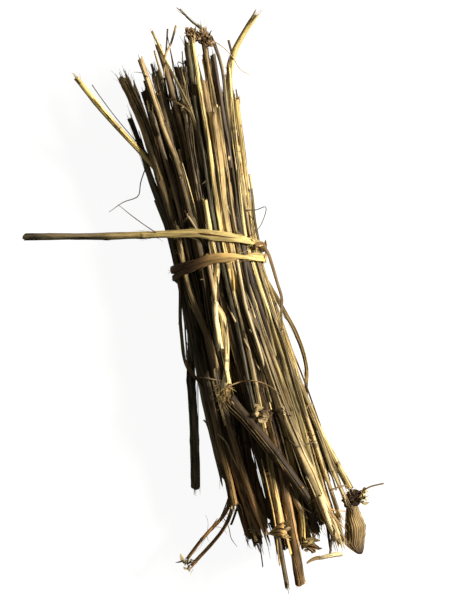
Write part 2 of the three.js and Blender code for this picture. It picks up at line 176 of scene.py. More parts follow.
def height(tree, x, y):
    """How high the solids' top is at a place, or nothing where there is only floor."""
    hit = tree.ray_cast(Vector((x, y, 1.0)), Vector((0.0, 0.0, -1.0)))[0]
    return hit.z if hit else None


# Lines, noise and colours

def smoothstep(low, high, values):
    t = np.clip((values - low) / (high - low), 0, 1)
    return t * t * (3 - 2 * t)


def unit(vectors):
    return vectors / np.maximum(np.linalg.norm(vectors, axis=-1, keepdims=True), 1e-12)


def travelled(points):
    """The way along a line to each of its points."""
    steps = np.linalg.norm(np.diff(points[:, :3], axis=0), axis=1)
    return np.concatenate([[0.0], np.cumsum(steps)])


def smooth_path(points, step):
    """A smooth curve through rows of x, y, z and any further values, sampled about a step apart."""
    points = np.asarray(points, float)
    places = travelled(points)
    slopes = np.gradient(points, places, axis=0)
    samples = np.linspace(0, places[-1], max(4, round(places[-1] / step) + 1))
    k = np.clip(np.searchsorted(places, samples, side="right") - 1, 0, len(places) - 2)
    width = (places[k + 1] - places[k])[:, None]
    t = (samples - places[k])[:, None] / width
    before = (2 * t**3 - 3 * t**2 + 1) * points[k] + (t**3 - 2 * t**2 + t) * width * slopes[k]
    after = (3 * t**2 - 2 * t**3) * points[k + 1] + (t**3 - t**2) * width * slopes[k + 1]
    return before + after


def axes_along(centres, up):
    """The forward, sideways and upward directions at each point of a line."""
    forward = unit(np.gradient(centres, axis=0))
    up = np.broadcast_to(up, centres.shape)
    up = unit(up - np.sum(up * forward, axis=1, keepdims=True) * forward)
    return forward, np.cross(up, forward), up


def value_noise(rng, rows, columns, u, v):
    """Smooth noise from -1 to 1 on a lattice that wraps round in u and runs once along v."""
    lattice = rng.uniform(-1, 1, (rows + 2, columns))
    x = u * columns
    y = v * rows
    column = np.floor(x).astype(int)
    row = np.floor(y).astype(int)
    across = smoothstep(0, 1, x - column)
    down = smoothstep(0, 1, y - row)
    left = column % columns
    right = (column + 1) % columns
    upper = lattice[row, left] * (1 - across) + lattice[row, right] * across
    lower = lattice[row + 1, left] * (1 - across) + lattice[row + 1, right] * across
    return upper * (1 - down) + lower * down


def colours_at(places, stops):
    """Colours at some places, between stops that each have a place and a colour."""
    stop_places = [place for place, _ in stops]
    colours = np.array([colour for _, colour in stops])
    return np.stack([np.interp(places, stop_places, colours[:, k]) for k in range(3)], axis=-1)


def rows_round(centres, side, up, widths, heights, turns=None):
    """Rows of points round a line, from its bottom round and back, at shares of a turn."""
    turns = np.linspace(0, 1, widths.shape[1]) if turns is None else turns
    angles = (2 * turns - 0.5) * math.pi
    sideways = (widths * np.cos(angles))[..., None] * side[:, None, :]
    upward = (heights * np.sin(angles))[..., None] * up[:, None, :]
    return centres[:, None, :] + sideways + upward


# One piece's surface

class Skin:
    """Grids bent to shape and welded into closed bodies, with their colours and finish.

    The finish is bark, knot, pith and tone, where the tone also holds painted shade in grooves and cracks,
    and the tint is the colour of the bare wood, with painted light and shade in it on many pieces.
    """

    def __init__(self):
        self.batches = []
        self.points = []
        self.places = []
        self.finishes = []
        self.tints = []

    def add(self, rows, places, finish, tint):
        """One grid: rows of points, their places on the surface in mm, their finish and their tint."""
        count, columns = rows.shape[:2]
        if len(self.points) % BATCH == 0:
            self.batches.append(bmesh.new())
        bmesh.ops.create_grid(self.batches[-1], x_segments=columns - 1, y_segments=count - 1, size=1.0)
        self.points.append(rows.reshape(-1, 3))
        self.places.append(places.reshape(-1, 2))
        self.finishes.append(np.broadcast_to(finish, (count, columns, 4)).reshape(-1, 4))
        opaque = np.ones((count, columns, 1))
        tint = np.broadcast_to(tint, (count, columns, 3))
        self.tints.append(np.concatenate([tint, opaque], axis=2).reshape(-1, 4))

    def add_tube(self, line, sides, tint, flat=1.0, up=UP, finish=(0, 0, 0, 0.5)):
        """A closed tube along rows of x, y, z and half width, flattened across its thickness."""
        line = np.vstack([line[:1], line, line[-1:]])
        centres = line[:, :3].copy()
        half = line[:, 3].copy()
        _, side, upward = axes_along(centres[1:-1], up)
        side = np.vstack([side[:1], side, side[-1:]])
        upward = np.vstack([upward[:1], upward, upward[-1:]])
        half[0] = half[-1] = 0
        widths = np.repeat(half[:, None], sides + 1, axis=1)
        rows = rows_round(centres, side, upward, widths, widths * flat)
        rows[..., 2] = np.maximum(rows[..., 2], FLOOR_GAP)
        around, along = np.meshgrid(np.linspace(0, 1, sides + 1), travelled(centres) / MM)
        girth = 2 * math.pi * half.max() / MM
        places = np.stack([around * girth + centres[0, 0] / MM, along + centres[0, 1] / MM], axis=2)
        self.add(rows, places, np.array(finish, float), tint)

    def piece(self, name, material, slot, *nodes):
        """Welds the grids into one object that rides on the root body and stands for some nodes."""
        mesh = bpy.data.meshes.new(name)
        grids = bmesh.new()
        for batch in self.batches:
            batch.to_mesh(mesh)
            batch.free()
            grids.from_mesh(mesh)
        grids.to_mesh(mesh)
        grids.free()
        mesh.vertices.foreach_set("co", np.concatenate(self.points).astype(np.float32).ravel())
        corners = np.empty(len(mesh.loops), np.int32)
        mesh.loops.foreach_get("vertex_index", corners)
        surface = mesh.uv_layers.new(name="surface")
        surface.data.foreach_set("uv", np.concatenate(self.places)[corners].astype(np.float32).ravel())
        for label, values in (("finish", self.finishes), ("tint", self.tints)):
            layer = mesh.attributes.new(label, "FLOAT_COLOR", "POINT")
            layer.data.foreach_set("color", np.concatenate(values).astype(np.float32).ravel())
        welded = bmesh.new()
        welded.from_mesh(mesh)
        bmesh.ops.remove_doubles(welded, verts=welded.verts, dist=WELD)
        welded.to_mesh(mesh)
        welded.free()
        mesh.shade_smooth()
        mesh.set_sharp_from_angle(angle=CREASE)
        mesh.materials.append(material)
        obj = bpy.data.objects.new(name, mesh)
        bpy.context.scene.collection.objects.link(obj)
        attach(obj, "root")
        if nodes:
            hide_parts(*nodes)


# Stalks

# How a cut end turns in from its rim: the share of the rim's radius, and the depth in radii.
HOLLOW_END = ((0.84, 0.05), (0.68, 0.3), (0.6, 1.4), (0.42, 2.3), (0.0, 2.5))
PITH_END = ((0.84, 0.04), (0.72, 0.24), (0.45, 0.14), (0.0, 0.08))
THIN_END = ((0.6, 0.06), (0.0, 0.0))

STALK_SHAPES = {
    "stalk_grey": {"ribs": (4, 6), "rib_depth": (0.2, 0.42), "bark": (0.45, 0.8)},
    "stalk_straw": {"ribs": (4, 5), "rib_depth": (0.12, 0.28), "bark": (0.2, 0.45)},
    "stalk_brown": {"ribs": (4, 6), "rib_depth": (0.18, 0.38), "bark": (0.32, 0.62)},
}
STALK_TONES = {
    "stalk_grey": ((0.10, 0.083, 0.050), (0.24, 0.19, 0.105)),
    "stalk_straw": ((0.38, 0.275, 0.115), (0.62, 0.48, 0.22)),
    "stalk_brown": ((0.15, 0.092, 0.042), (0.34, 0.225, 0.10)),
}
# The colour of a stalk that has none of its own.
PLAIN_STRAW = (0.4, 0.28, 0.12)
STALK_TINTS = {
    "left_stray_stalk": (0.46, 0.345, 0.125),
    "left_thick_stalk": (0.20, 0.14, 0.065),
    "left_edge_stalk": (0.25, 0.21, 0.125),
    "left_loose_stalk": (0.19, 0.165, 0.115),
    "thick_dark_stalk": (0.155, 0.135, 0.08),
    "long_butt_stalk": (0.30, 0.195, 0.09),
    "purple_brown_stalk": (0.07, 0.05, 0.034),
    "right_pale_stalk": (0.60, 0.46, 0.18),
    "right_bent_stalk": (0.62, 0.47, 0.18),
    "right_edge_stalk": (0.56, 0.42, 0.16),
    "thin_dark_stalk": (0.09, 0.078, 0.05),
    "crossing_thin_stalk": (0.66, 0.51, 0.22),
    "crown_left_shoot": (0.52, 0.37, 0.17),
    "split_strip_outer": (0.32, 0.18, 0.065),
    "split_strip_inner": (0.34, 0.20, 0.075),
    "right_bow_twig": (0.30, 0.205, 0.08),
    "left_bow_twig": (0.27, 0.18, 0.07),
    "tip_cross_twig": (0.14, 0.115, 0.07),
}
# Painted shade: the near-black colour painted on stalks where they lie in the shaded hollow below the tie.
HOLLOW_PAINTED_SHADE = (0.035, 0.027, 0.016)
# Stalks that change colour on the way to their butts: rows of the photograph, each with the colour there.
# Where a stalk runs through the hollow below the tie, its stops paint that hollow's shade on it.
STALK_TURNS = {
    "frayed_tip_stalk": ((410, (0.30, 0.20, 0.095)), (450, (0.66, 0.49, 0.17))),
    "bright_tip_stalk": (
        (60, (0.70, 0.54, 0.21)), (270, (0.66, 0.48, 0.18)), (300, (0.15, 0.10, 0.05)),
        (380, (0.30, 0.22, 0.11)), (465, (0.62, 0.47, 0.20)),
    ),
    "left_straight_stalk": (
        (230, (0.44, 0.32, 0.155)), (268, HOLLOW_PAINTED_SHADE), (340, HOLLOW_PAINTED_SHADE), (390, (0.15, 0.1, 0.05)),
    ),
    "dark_tip_stalk": (
        (240, (0.15, 0.105, 0.055)), (272, HOLLOW_PAINTED_SHADE), (340, HOLLOW_PAINTED_SHADE), (400, (0.13, 0.085, 0.04)),
    ),
    "core_stalk_10": (
        (240, (0.20, 0.15, 0.08)), (268, HOLLOW_PAINTED_SHADE), (335, HOLLOW_PAINTED_SHADE), (450, (0.30, 0.2, 0.1)),
    ),
    "core_stalk_12": ((240, (0.28, 0.2, 0.1)), (270, (0.12, 0.085, 0.045))),
    "core_stalk_15": (
        (240, (0.22, 0.16, 0.08)), (268, HOLLOW_PAINTED_SHADE), (350, HOLLOW_PAINTED_SHADE), (400, (0.13, 0.085, 0.04)),
    ),
    "core_stalk_20": ((240, (0.26, 0.19, 0.10)), (270, (0.13, 0.09, 0.045)), (400, (0.10, 0.07, 0.035))),
    "core_stalk_23": (
        (240, (0.18, 0.13, 0.07)), (266, HOLLOW_PAINTED_SHADE), (320, HOLLOW_PAINTED_SHADE), (450, (0.30, 0.2, 0.1)),
    ),
    "core_stalk_25": (
        (120, (0.40, 0.29, 0.13)), (240, (0.54, 0.39, 0.15)), (285, (0.50, 0.36, 0.14)),
        (305, (0.15, 0.115, 0.065)), (370, (0.22, 0.17, 0.10)), (400, (0.50, 0.38, 0.19)),
    ),
}
# Stalks with less bark than their slot's others.
BARK_SHARES = {
    "bright_tip_stalk": 0.25, "core_stalk_25": 0.25, "crown_left_shoot": 0.25, "purple_brown_stalk": 0.3,
}
# Stalks that are torn further back than most, in radii.
TORN_ENDS = {
    "core_stalk_10": 7, "core_stalk_18": 5, "core_stalk_23": 8, "core_stalk_26": 6, "core_stalk_15": 6,
    "thick_dark_stalk": 2, "left_edge_stalk": 4, "core_stalk_05": 6,
}

ROW_STEP = 1.3 * MM
ROUNDNESS = 0.95
# How far stalks stray sideways, and how far apart their knots are.
STALK_WANDER = 0.45 * MM
KNOT_SPACING = 34 * MM
# Half a groove's width as a share of the girth, how many grooves crack open and how deep, in radii.
SHOULDER = 0.022
CRACK_SHARE = 0.35
CRACK_DEPTH = 0.6
# The stubs of cut shoots: the share of knots with one, half widths in radii of the stalk, and shade.
SHOOT_SHARE = 0.4
SHOOT_TAPER = (0.42, 0.36, 0.3, 0.27, 0.2)
SHOOT_SHADE = 0.7


def painted_light_and_shade(rows, tint):
    """A stalk's colour with painted light and shade: paler towards the tips, more so on the left, painted
    shade on the left in the hollow below the tie, and a warm painted light far below the tie towards the
    left.
    """
    above = rows[..., 1] - TIE_Y
    left = 1 - smoothstep(-12 * MM, -4 * MM, rows[..., 0] - TIE_X)
    painted_tip_light = smoothstep(5 * MM, 60 * MM, above)
    inside = smoothstep(-20 * MM, -15 * MM, rows[..., 0] - TIE_X)
    painted_hollow_shade = inside * smoothstep(4 * MM, 14 * MM, -above) * (1 - smoothstep(36 * MM, 75 * MM, -above))
    painted_warm_light = smoothstep(60 * MM, 100 * MM, -above) * (1 - smoothstep(0, 16 * MM, rows[..., 0] - TIE_X))
    shade = 1 + 0.25 * painted_tip_light + left * (0.35 * painted_tip_light - 0.5 * painted_hollow_shade)
    return tint * (shade[..., None] + painted_warm_light[..., None] * (0.7, 0.48, 0.2))


def grooved_columns(ribs, crests, rng):
    """Places round a stalk: each groove's floor, its shoulders and the crests up to the next groove.

    The second list says which of the places are floors.
    """
    floors = (np.arange(ribs) + rng.uniform(-0.28, 0.28, ribs)) / ribs
    following = np.append(floors[1:], floors[0] + 1)
    places, is_floor = [], []
    for floor, last in zip(floors, following):
        between = np.linspace(floor + SHOULDER, last - SHOULDER, crests + 2)
        places.extend([floor, *between])
        is_floor.extend([True] + [False] * len(between))
    return np.append(places, places[0] + 1), np.append(is_floor, True)


def groove_depths(is_floor, v, length, rib_depth, rng):
    """How deep the grooves' floors lie, in radii: ribs all along a stalk, and cracks here and there."""
    depth = np.zeros((len(v), len(is_floor)))
    swells = max(2, round(length / (22 * MM)))
    for column in np.nonzero(is_floor[:-1])[0]:
        swell, opening = (value_noise(rng, swells, 1, np.zeros(len(v)), v) for _ in range(2))
        depth[:, column] = rib_depth * np.clip(0.9 + 0.9 * swell, 0.1, None)
        if rng.uniform() < CRACK_SHARE:
            depth[:, column] = np.maximum(depth[:, column], CRACK_DEPTH * smoothstep(-0.1, 0.5, opening))
    depth[:, -1] = depth[:, 0]
    return depth


def knot_places(length, rng, spacing):
    """Where along a stalk its knots are."""
    places = []
    place = rng.uniform(0.3, 1.0) * spacing
    while place < length - 0.3 * spacing:
        places.append(place)
        place += rng.uniform(0.6, 1.4) * spacing
    return places


def knot_swelling(along, u, places, rng):
    """How near each point is to one of a stalk's knots, and which way each knot faces."""
    swelling = np.zeros_like(u)
    spots = []
    for place in places:
        facing = rng.uniform(0, 1)
        width = rng.uniform(1.2, 1.9) * MM
        ring = np.exp(-(((along - place) / width) ** 2))[:, None]
        swelling += ring * (0.65 + 0.35 * np.cos(2 * math.pi * (u - facing)))
        spots.append((place, facing))
    return np.clip(swelling, 0, 1), spots


def tear_ends(rows, forward, along, radius, turns, depth, slant, rng):
    """Draws the two ends' rims back into the stalk, slanted and ragged."""
    for end in (0, -1):
        ragged = 0.5 + 0.5 * value_noise(rng, 1, 9, turns, np.zeros(len(turns)))
        leaning = 0.5 + 0.5 * np.cos(2 * math.pi * (turns - rng.uniform()))
        cut = (depth * ragged + slant * rng.uniform(0.3, 1) * leaning) * radius[end, 0]
        from_end = along if end == 0 else along[-1] - along
        fade = np.clip(1 - from_end / (3 * cut.max()), 0, 1)
        into = forward if end == 0 else -forward
        rows += (fade[:, None] * cut)[..., None] * into[:, None, :]


def wander(centres, reach, knots_at, rng):
    """A line that strays from side to side and bends at its knots, but keeps its ends and its place."""
    along = travelled(centres)
    v = along / along[-1]
    strays = max(2, round(along[-1] / (16 * MM)))
    bends = [0, *knots_at, along[-1]]
    sideways, upward = (
        np.sin(math.pi * v) * value_noise(rng, strays, 1, np.zeros(len(v)), v)
        + np.interp(along, bends, [0, *rng.normal(0, 1, len(knots_at)), 0])
        for _ in range(2))
    _, side, up = axes_along(centres, UP)
    freedom = np.clip(np.abs(centres[:, 1] - TIE_Y) / (3 * WAIST_HALF_LENGTH), 0.15, 1)
    return centres + (reach * freedom)[:, None] * (sideways[:, None] * side + 0.4 * upward[:, None] * up)


def cap_rows(rim, into, radius, profile):
    """The rows from a cut end's rim in to its middle."""
    centre = rim[:-1].mean(axis=0)
    return np.array([centre + (rim - centre) * share + into * depth * radius for share, depth in profile])


def add_cut_shoots(skin, centres, radius, along, axes, spots, shape, tint, rng):
    """The stubs of side shoots that were cut or broken off at a stalk's knots."""
    forward, side, up = axes
    for place, facing in spots:
        if rng.uniform() > shape.get("shoots", SHOOT_SHARE):
            continue
        k = int(np.searchsorted(along, place))
        angle = (2 * facing - 0.5) * math.pi
        out = math.cos(angle) * side[k] + math.sin(angle) * up[k]
        heading = unit(out - rng.uniform(0.4, 1.0) * forward[k])
        thick = radius[k, 0]
        reach = thick * rng.uniform(0.5, 1.6)
        start = centres[k] + out * thick * 0.6
        steps = np.linspace(0, 1, len(SHOOT_TAPER))[:, None]
        bent = start + heading * steps * (reach + 0.4 * thick) - forward[k] * steps**2 * reach * 0.3
        line = np.column_stack([bent, thick * np.array(SHOOT_TAPER)])
        skin.add_tube(line, 8, tint[k, 0] * SHOOT_SHADE, up=forward[k], finish=(0.4, 0.5, 0, 0.5))


def add_stalk(skin, line, shape, tint, rng):
    """Skins one stalk: ribs, cracks, lumps, bark, knots with cut shoots, and torn ends."""
    path = smooth_path(line, shape.get("step", ROW_STEP))
    knots_at = shape.get("knot_places")
    if knots_at is None:
        knots_at = knot_places(travelled(path)[-1], rng, shape.get("knot_spacing", KNOT_SPACING))
    centres = wander(path[:, :3], shape.get("wander", STALK_WANDER), knots_at, rng)
    radius = path[:, 3:4] * ROUNDNESS
    forward, side, up = axes_along(centres, UP)
    along = travelled(centres)
    length = along[-1]
    turns, is_floor = grooved_columns(shape["ribs"], shape.get("crests", 2), rng)
    u, v = np.meshgrid(turns, along / length)

    def noise(spacing, columns):
        return value_noise(rng, max(2, round(length / spacing)), columns, u, v)

    bark = smoothstep(-0.55, 0.55, noise(30 * MM, 7) + 0.6 * noise(10 * MM, 9) + 2.4 * shape["bark"] - 1.2)
    knots, spots = knot_swelling(along, u, knots_at, rng)
    depth = groove_depths(is_floor, v[:, 0], length, shape["rib_depth"], rng)
    drift = rng.uniform(-0.002, 0.002) * along[:, None] / MM + 0.05 * noise(26 * MM, 1)[:, :1]
    oval = 0.07 * np.cos(4 * math.pi * (u + rng.uniform() + 0.004 * along[:, None] / MM))
    lumps = oval + 0.07 * noise(20 * MM, 3) + 0.05 * noise(6 * MM, 4) + 0.04 * noise(3 * MM, 8)
    radii = radius * np.clip(1 + lumps - depth + 0.08 * bark + 0.17 * knots, 0.3, None)
    rows = rows_round(centres, side, up, radii, radii, turns + drift)
    tear_ends(rows, forward, along, radius, turns, shape.get("ragged", 1.1), shape.get("slant", 0.8), rng)
    # Painted shade: the tone is darkened in the grooves and cracks, on top of its random differences.
    tone_and_groove_shade = 0.5 + 0.36 * noise(32 * MM, 6) + 0.32 * noise(12 * MM, 9) - 1.2 * depth

    profile = shape.get("end", HOLLOW_END)
    first = cap_rows(rows[0], forward[0], radius[0, 0], profile)[::-1]
    last = cap_rows(rows[-1], -forward[-1], radius[-1, 0], profile)
    rows = np.concatenate([first, rows, last])
    rows[..., 2] = np.maximum(rows[..., 2], FLOOR_GAP)
    count = len(profile)
    finish = np.zeros(rows.shape[:2] + (4,))
    finish[count:-count, :, 0] = bark
    finish[count:-count, :, 1] = knots
    finish[:count, :, 2] = 1
    finish[-count:, :, 2] = 1
    finish[..., 3] = 0.5
    finish[count:-count, :, 3] = tone_and_groove_shade
    past = np.linspace(0.1, 2, count)
    down = np.concatenate([-past[::-1], along / MM, length / MM + past])
    girth = 2 * math.pi * radius.mean() / MM
    places = np.stack(np.meshgrid(turns * girth, down), axis=2) + rng.uniform(0, 300, 2)
    # Paints light and shade into the stalk's colour.
    tint = painted_light_and_shade(rows, tint(rows) if callable(tint) else tint)
    skin.add(rows, places, finish, tint)
    facings = [(place, facing + np.interp(place, along, drift[:, 0])) for place, facing in spots]
    add_cut_shoots(skin, centres, radius, along, (forward, side, up), facings, shape, tint, rng)


def turned_tint(node):
    """A stalk's colour at some points, where it changes on the way to the butt."""
    stops = [(on_photo(TIE_PIXEL[0], row)[1], colour) for row, colour in reversed(STALK_TURNS[node])]
    return lambda rows: colours_at(rows[..., 1], stops)


def stalk_colour(node):
    """A stalk's one colour, or plain straw where it has none of its own."""
    if node in STALK_TURNS:
        return np.array(STALK_TURNS[node][-1][1])
    return np.array(STALK_TINTS.get(node, PLAIN_STRAW))


def slot_tint(slot, rng):
    """A colour between a slot's two tones."""
    dark, pale = STALK_TONES[slot]
    return np.array(dark) + rng.uniform() * (np.array(pale) - np.array(dark))


def painted_left_shade(line):
    """Painted shade: stalks are painted darker towards the bundle's left edge, the side away from the key
    light.
    """
    waist_x = line[np.argmin(np.abs(line[:, 1] - TIE_Y)), 0]
    return 0.5 + 0.5 * smoothstep(-16 * MM, 12 * MM, waist_x - TIE_X)


def slot_shape(slot, rng):
    """Ribs and bark drawn for one stalk of a slot."""
    ranges = STALK_SHAPES[slot]
    return {
        "ribs": int(rng.integers(ranges["ribs"][0], ranges["ribs"][1] + 1)),
        "rib_depth": rng.uniform(*ranges["rib_depth"]),
        "bark": rng.uniform(*ranges["bark"]),
        "end": HOLLOW_END if rng.uniform() < 0.55 else PITH_END,
        "ragged": rng.uniform(0.8, 2.4),
        "slant": rng.uniform(0.5, 2.2),
    }


# The crown

CROWN_PIXEL = (225, 388)
# The crown's shoot and the root below it: colour and share of bark. The shoot's colour is painted brighter,
# as painted light against the shade that the stalks beside it cast.
CROWN_SHOOT = ((0.92, 0.74, 0.35), 0.05)
CROWN_ROOT = ((0.034, 0.021, 0.010), 0.25)
CROWN_SHAPE = {"step": 0.6 * MM, "crests": 4, "wander": 0.15 * MM}
CROWN_SWELL = 1.15
# How far the crown's shoot and root overlap.
CROWN_OVERLAP = 4 * MM

BRANCH_LIFT = 0.8 * MM
BRANCH_SHAPE = {**CROWN_SHAPE, "ribs": 4, "rib_depth": 0.12, "bark": 0.05, "end": PITH_END, "shoots": 0}
# The crown's second shoots, a cut one that forks off and a thin one that joins from the left: half width in
# mm, colour, and a route of pixels.
CROWN_BRANCHES = (
    # The cut one's colour is painted brighter, as painted light against the shade that the crown's shoot
    # casts on it.
    (1.25, (0.86, 0.71, 0.37), ((216, 300), (215.6, 309), (216.5, 319.5), (219, 335), (222, 351.5))),
    (0.95, (0.36, 0.26, 0.14), ((207, 254), (209, 265), (212, 280), (215.6, 303))),
)


# Fibres, blades and twigs

# Half widths of the finest fibres, in mm.
FIBRE_HALVES = (0.06, 0.15)


def add_fibre(skin, start, heading, length, radius, tint, rng, curl=0.6, steps=5):
    """A hair-thin fibre that sets out along a heading and curls as it goes."""
    heading = unit(np.array(heading, float))
    bend = rng.normal(0, curl, 3) / steps
    points = [np.array(start, float)]
    for _ in range(steps):
        heading = unit(heading + bend + rng.normal(0, 0.35 * curl, 3) / steps)
        points.append(points[-1] + heading * length / steps)
    half = radius * np.linspace(1, 0.35, steps + 1)
    askew = np.cross(heading, rng.normal(0, 1, 3))
    skin.add_tube(np.column_stack([points, half]), 5, tint, up=askew)


def add_blade(skin, start, heading, out, length, half_width, curl, tint, flat=0.14, steps=6, sides=8):
    """A thin curled blade, widest past its middle and painted darker at its base as shade, that bends outward
    as it goes.
    """
    heading, out = unit(np.array(heading, float)), unit(np.array(out, float))
    points = [np.array(start, float)]
    for k in range(steps):
        turn = curl * (k + 0.5) / steps
        points.append(points[-1] + (heading * math.cos(turn) + out * math.sin(turn)) * length / steps)
    share = np.linspace(0, 1, steps + 1)
    half = half_width * (0.3 + 1.1 * np.sin(math.pi * share**0.8) - 0.12 * share)
    half = np.maximum(half, 0.12 * half_width)
    across = np.cross(heading, out)
    lift = np.cross(across, np.gradient(np.array(points), axis=0))
    # Painted shade: the blade's colour darkens towards its base.
    shade = np.interp(np.linspace(0, 1, steps + 3), (0, 0.5, 1), (0.3, 0.95, 1.1))
    skin.add_tube(np.column_stack([points, half]), sides, shade[:, None, None] * tint, flat, up=lift)


def add_splinter(skin, start, heading, out, length, half_width, tint, rng):
    """A flat sliver of wood that runs out to a point."""
    share = np.linspace(0, 1, 5)[:, None]
    points = start + (unit(heading) + out * share * rng.uniform(-0.1, 0.15)) * share * length
    half = half_width * (1 - 0.85 * share)
    finish = (rng.uniform(0, 0.6), 0, 0, rng.uniform(0.2, 0.7))
    skin.add_tube(np.hstack([points, half]), 5, tint, flat=0.35, up=out, finish=finish)


def draped(route, tree, radius):
    """A line over pixels of the photograph, each with a lift in mm over what lies under it."""
    points = []
    ground = None
    for u, v, lift in route:
        x, y = on_photo(u, v)
        below = height(tree, x, y)
        if below is not None:
            ground = below
        elif ground is None:
            ground = tree.find_nearest(Vector((x, y, WAIST_Z)))[0].z
        points.append((x, y, ground + radius + lift * MM, radius))
    return smooth_path(points, 1.5 * MM)


# Thin stems, settled between the stalks

# Stems finer than this may lie over the stalks that are told apart, and the share of them that does.
FINE_STEM = 0.5 * MM
FINE_STEMS_OVER = 0.4

LEVEL = 3 * MM
SETTLING_ROUNDS = 60
SHORTEST_STEM = 7
THIN_SHAPE = {"step": 2.6 * MM, "ribs": 2, "crests": 1, "end": THIN_END, "slant": 1.6, "shoots": 0.25}
# How far thin stems stay from the bundle's ends, and the shortest stalk that one runs along.
END_MARGIN = 6 * MM
SHORTEST_HOST = 120 * MM


def at_levels(line, levels):
    """A line's x, z and radius where it crosses each level, with a huge gap where it doesn't reach."""
    order = np.argsort(line[:, 1])
    y = line[order, 1]
    values = [np.interp(levels, y, line[order, k]) for k in (0, 2, 3)]
    present = (levels >= y[0]) & (levels <= y[-1])
    return np.stack(values, axis=1), present


def settle(thin_x, thin_z, thin_r, levels, solids, solid_present):
    """Pushes thin stems out of the stalks and each other, keeps them inside the tie, and evens them."""
    home_x, home_z = thin_x.copy(), thin_z.copy()
    in_tie = np.abs(levels - TIE_Y) < WAIST_HALF_LENGTH
    for _ in range(SETTLING_ROUNDS):
        for x, z, r, own in ((solids[..., 0], solids[..., 1], solids[..., 2], solid_present),
                             (thin_x, thin_z, np.broadcast_to(thin_r, thin_x.shape), None)):
            gap_x = thin_x[:, None, :] - x[None]
            gap_z = thin_z[:, None, :] - z[None]
            apart = np.sqrt(gap_x**2 + gap_z**2) + 1e-9
            push = np.clip((thin_r + 0.05 * MM)[:, None, :] + r[None] - apart, 0, None)
            if own is None:
                np.einsum("iij->ij", push)[...] = 0
                push *= 0.5
            else:
                push = np.where(own[None], push, 0)
            thin_x = thin_x + (push * gap_x / apart).sum(axis=1)
            thin_z = thin_z + (push * gap_z / apart).sum(axis=1)
        reach = np.sqrt(((thin_x - TIE_X) / (WAIST_HALF_WIDTH - thin_r)) ** 2
                        + ((thin_z - WAIST_Z) / (WAIST_HALF_HEIGHT - thin_r)) ** 2)
        squeeze = np.where(in_tie[None], np.maximum(reach, 1), 1)
        thin_x = TIE_X + (thin_x - TIE_X) / squeeze
        thin_z = WAIST_Z + (thin_z - WAIST_Z) / squeeze
        for _ in range(2):
            thin_x[:, 1:-1] = 0.5 * thin_x[:, 1:-1] + 0.25 * (thin_x[:, :-2] + thin_x[:, 2:])
            thin_z[:, 1:-1] = 0.5 * thin_z[:, 1:-1] + 0.25 * (thin_z[:, :-2] + thin_z[:, 2:])
        thin_x += 0.02 * (home_x - thin_x)
        thin_z += 0.02 * (home_z - thin_z)
        thin_z = np.maximum(thin_z, thin_r)
    return thin_x, thin_z


def longest_run(flags):
    """The longest unbroken stretch of a row of flags."""
    best = np.zeros_like(flags)
    start = 0
    for k in range(len(flags) + 1):
        if k == len(flags) or not flags[k]:
            if k - start > best.sum():
                best = np.zeros_like(flags)
                best[start:k] = True
            start = k + 1
    return best


def thin_stem_lines(look, rng):
    """Lines of thin stems that run along the stalks, each with its radius."""
    top, bottom = CAD_BOX[1].y - END_MARGIN, CAD_BOX[0].y + END_MARGIN
    levels = np.arange(top, bottom, -LEVEL)
    hosts = [node for node in STALKS if np.ptp(LINES[node][:, 1]) > SHORTEST_HOST]
    solids, present = zip(*(at_levels(LINES[node], levels) for node in STALKS))
    solids, present = np.array(solids), np.array(present)
    xs, zs, rs, spans = [], [], [], []
    for _ in range(look.count):
        host = hosts[rng.integers(len(hosts))]
        values, _ = at_levels(LINES[host], levels)
        reach = LINES[host][:, 1]
        radius = look.thinnest + (look.thickest - look.thinnest) * rng.uniform() ** 1.5
        turn = rng.uniform(-0.3, 1.3) * math.pi + np.linspace(0, 1, len(levels)) * rng.normal(0, 0.9)
        away = values[:, 2] + radius
        end_spread = ((levels - TIE_Y) / (100 * MM)) ** 2 * rng.normal(0, 2.2) * MM
        xs.append(values[:, 0] + np.cos(turn) * away + end_spread)
        zs.append(values[:, 1] + np.sin(turn) * away + np.abs(end_spread) * 0.2)
        rs.append(np.full(len(levels), radius))
        tip = min(reach.max() + rng.uniform(-45, 10) * MM, top)
        butt = max(reach.min() + rng.uniform(-10, 50) * MM, bottom)
        if rng.uniform() < 0.5:
            tip, butt = sorted(rng.uniform(butt, tip, 2), reverse=True)
        spans.append((tip, butt))
    rs = np.array(rs)
    xs, zs = settle(np.array(xs), np.array(zs), rs, levels, solids, present)
    told_apart = [not node.startswith(("core_", "bed_")) for node in STALKS]
    seen, seen_present = solids[told_apart], present[told_apart]
    lines = []
    for x, z, r, (tip, butt) in zip(xs, zs, rs, spans):
        over = (np.abs(x - seen[..., 0]) < 0.5 * seen[..., 2] + r) & (z > seen[..., 1]) & seen_present
        if r[0] < FINE_STEM and rng.uniform() < FINE_STEMS_OVER:
            over[:] = False
        inside = longest_run((levels <= tip) & (levels >= butt) & ~over.any(axis=0))
        gaps = np.hypot(x - solids[..., 0], z - solids[..., 1]) - solids[..., 2] - r
        held = np.where(present, gaps, 1.0).min(axis=0) < 0.6 * MM
        if inside.sum() < SHORTEST_STEM or held[inside].mean() < 0.6:
            continue
        taper = np.linspace(rng.uniform(0.6, 1.0), 1.0, inside.sum())
        lines.append(np.stack([x[inside], levels[inside], z[inside], r[inside] * taper], axis=1))
    return lines


# The tie

BAND_SIDES = 8
# The rings of the tie's solid where its free stalk ends and where its split strands set out.
FREE_STALK_RINGS = 7
STRANDS_START = 4
# How the free stalk's last rings taper into the strands.
FREE_STALK_TAPER = (0.95, 0.8, 0.5, 0.2)
# The ring where the strands cross over each other.
SWAP_RING = 35.4
STRAND_STEP = 0.9 * MM
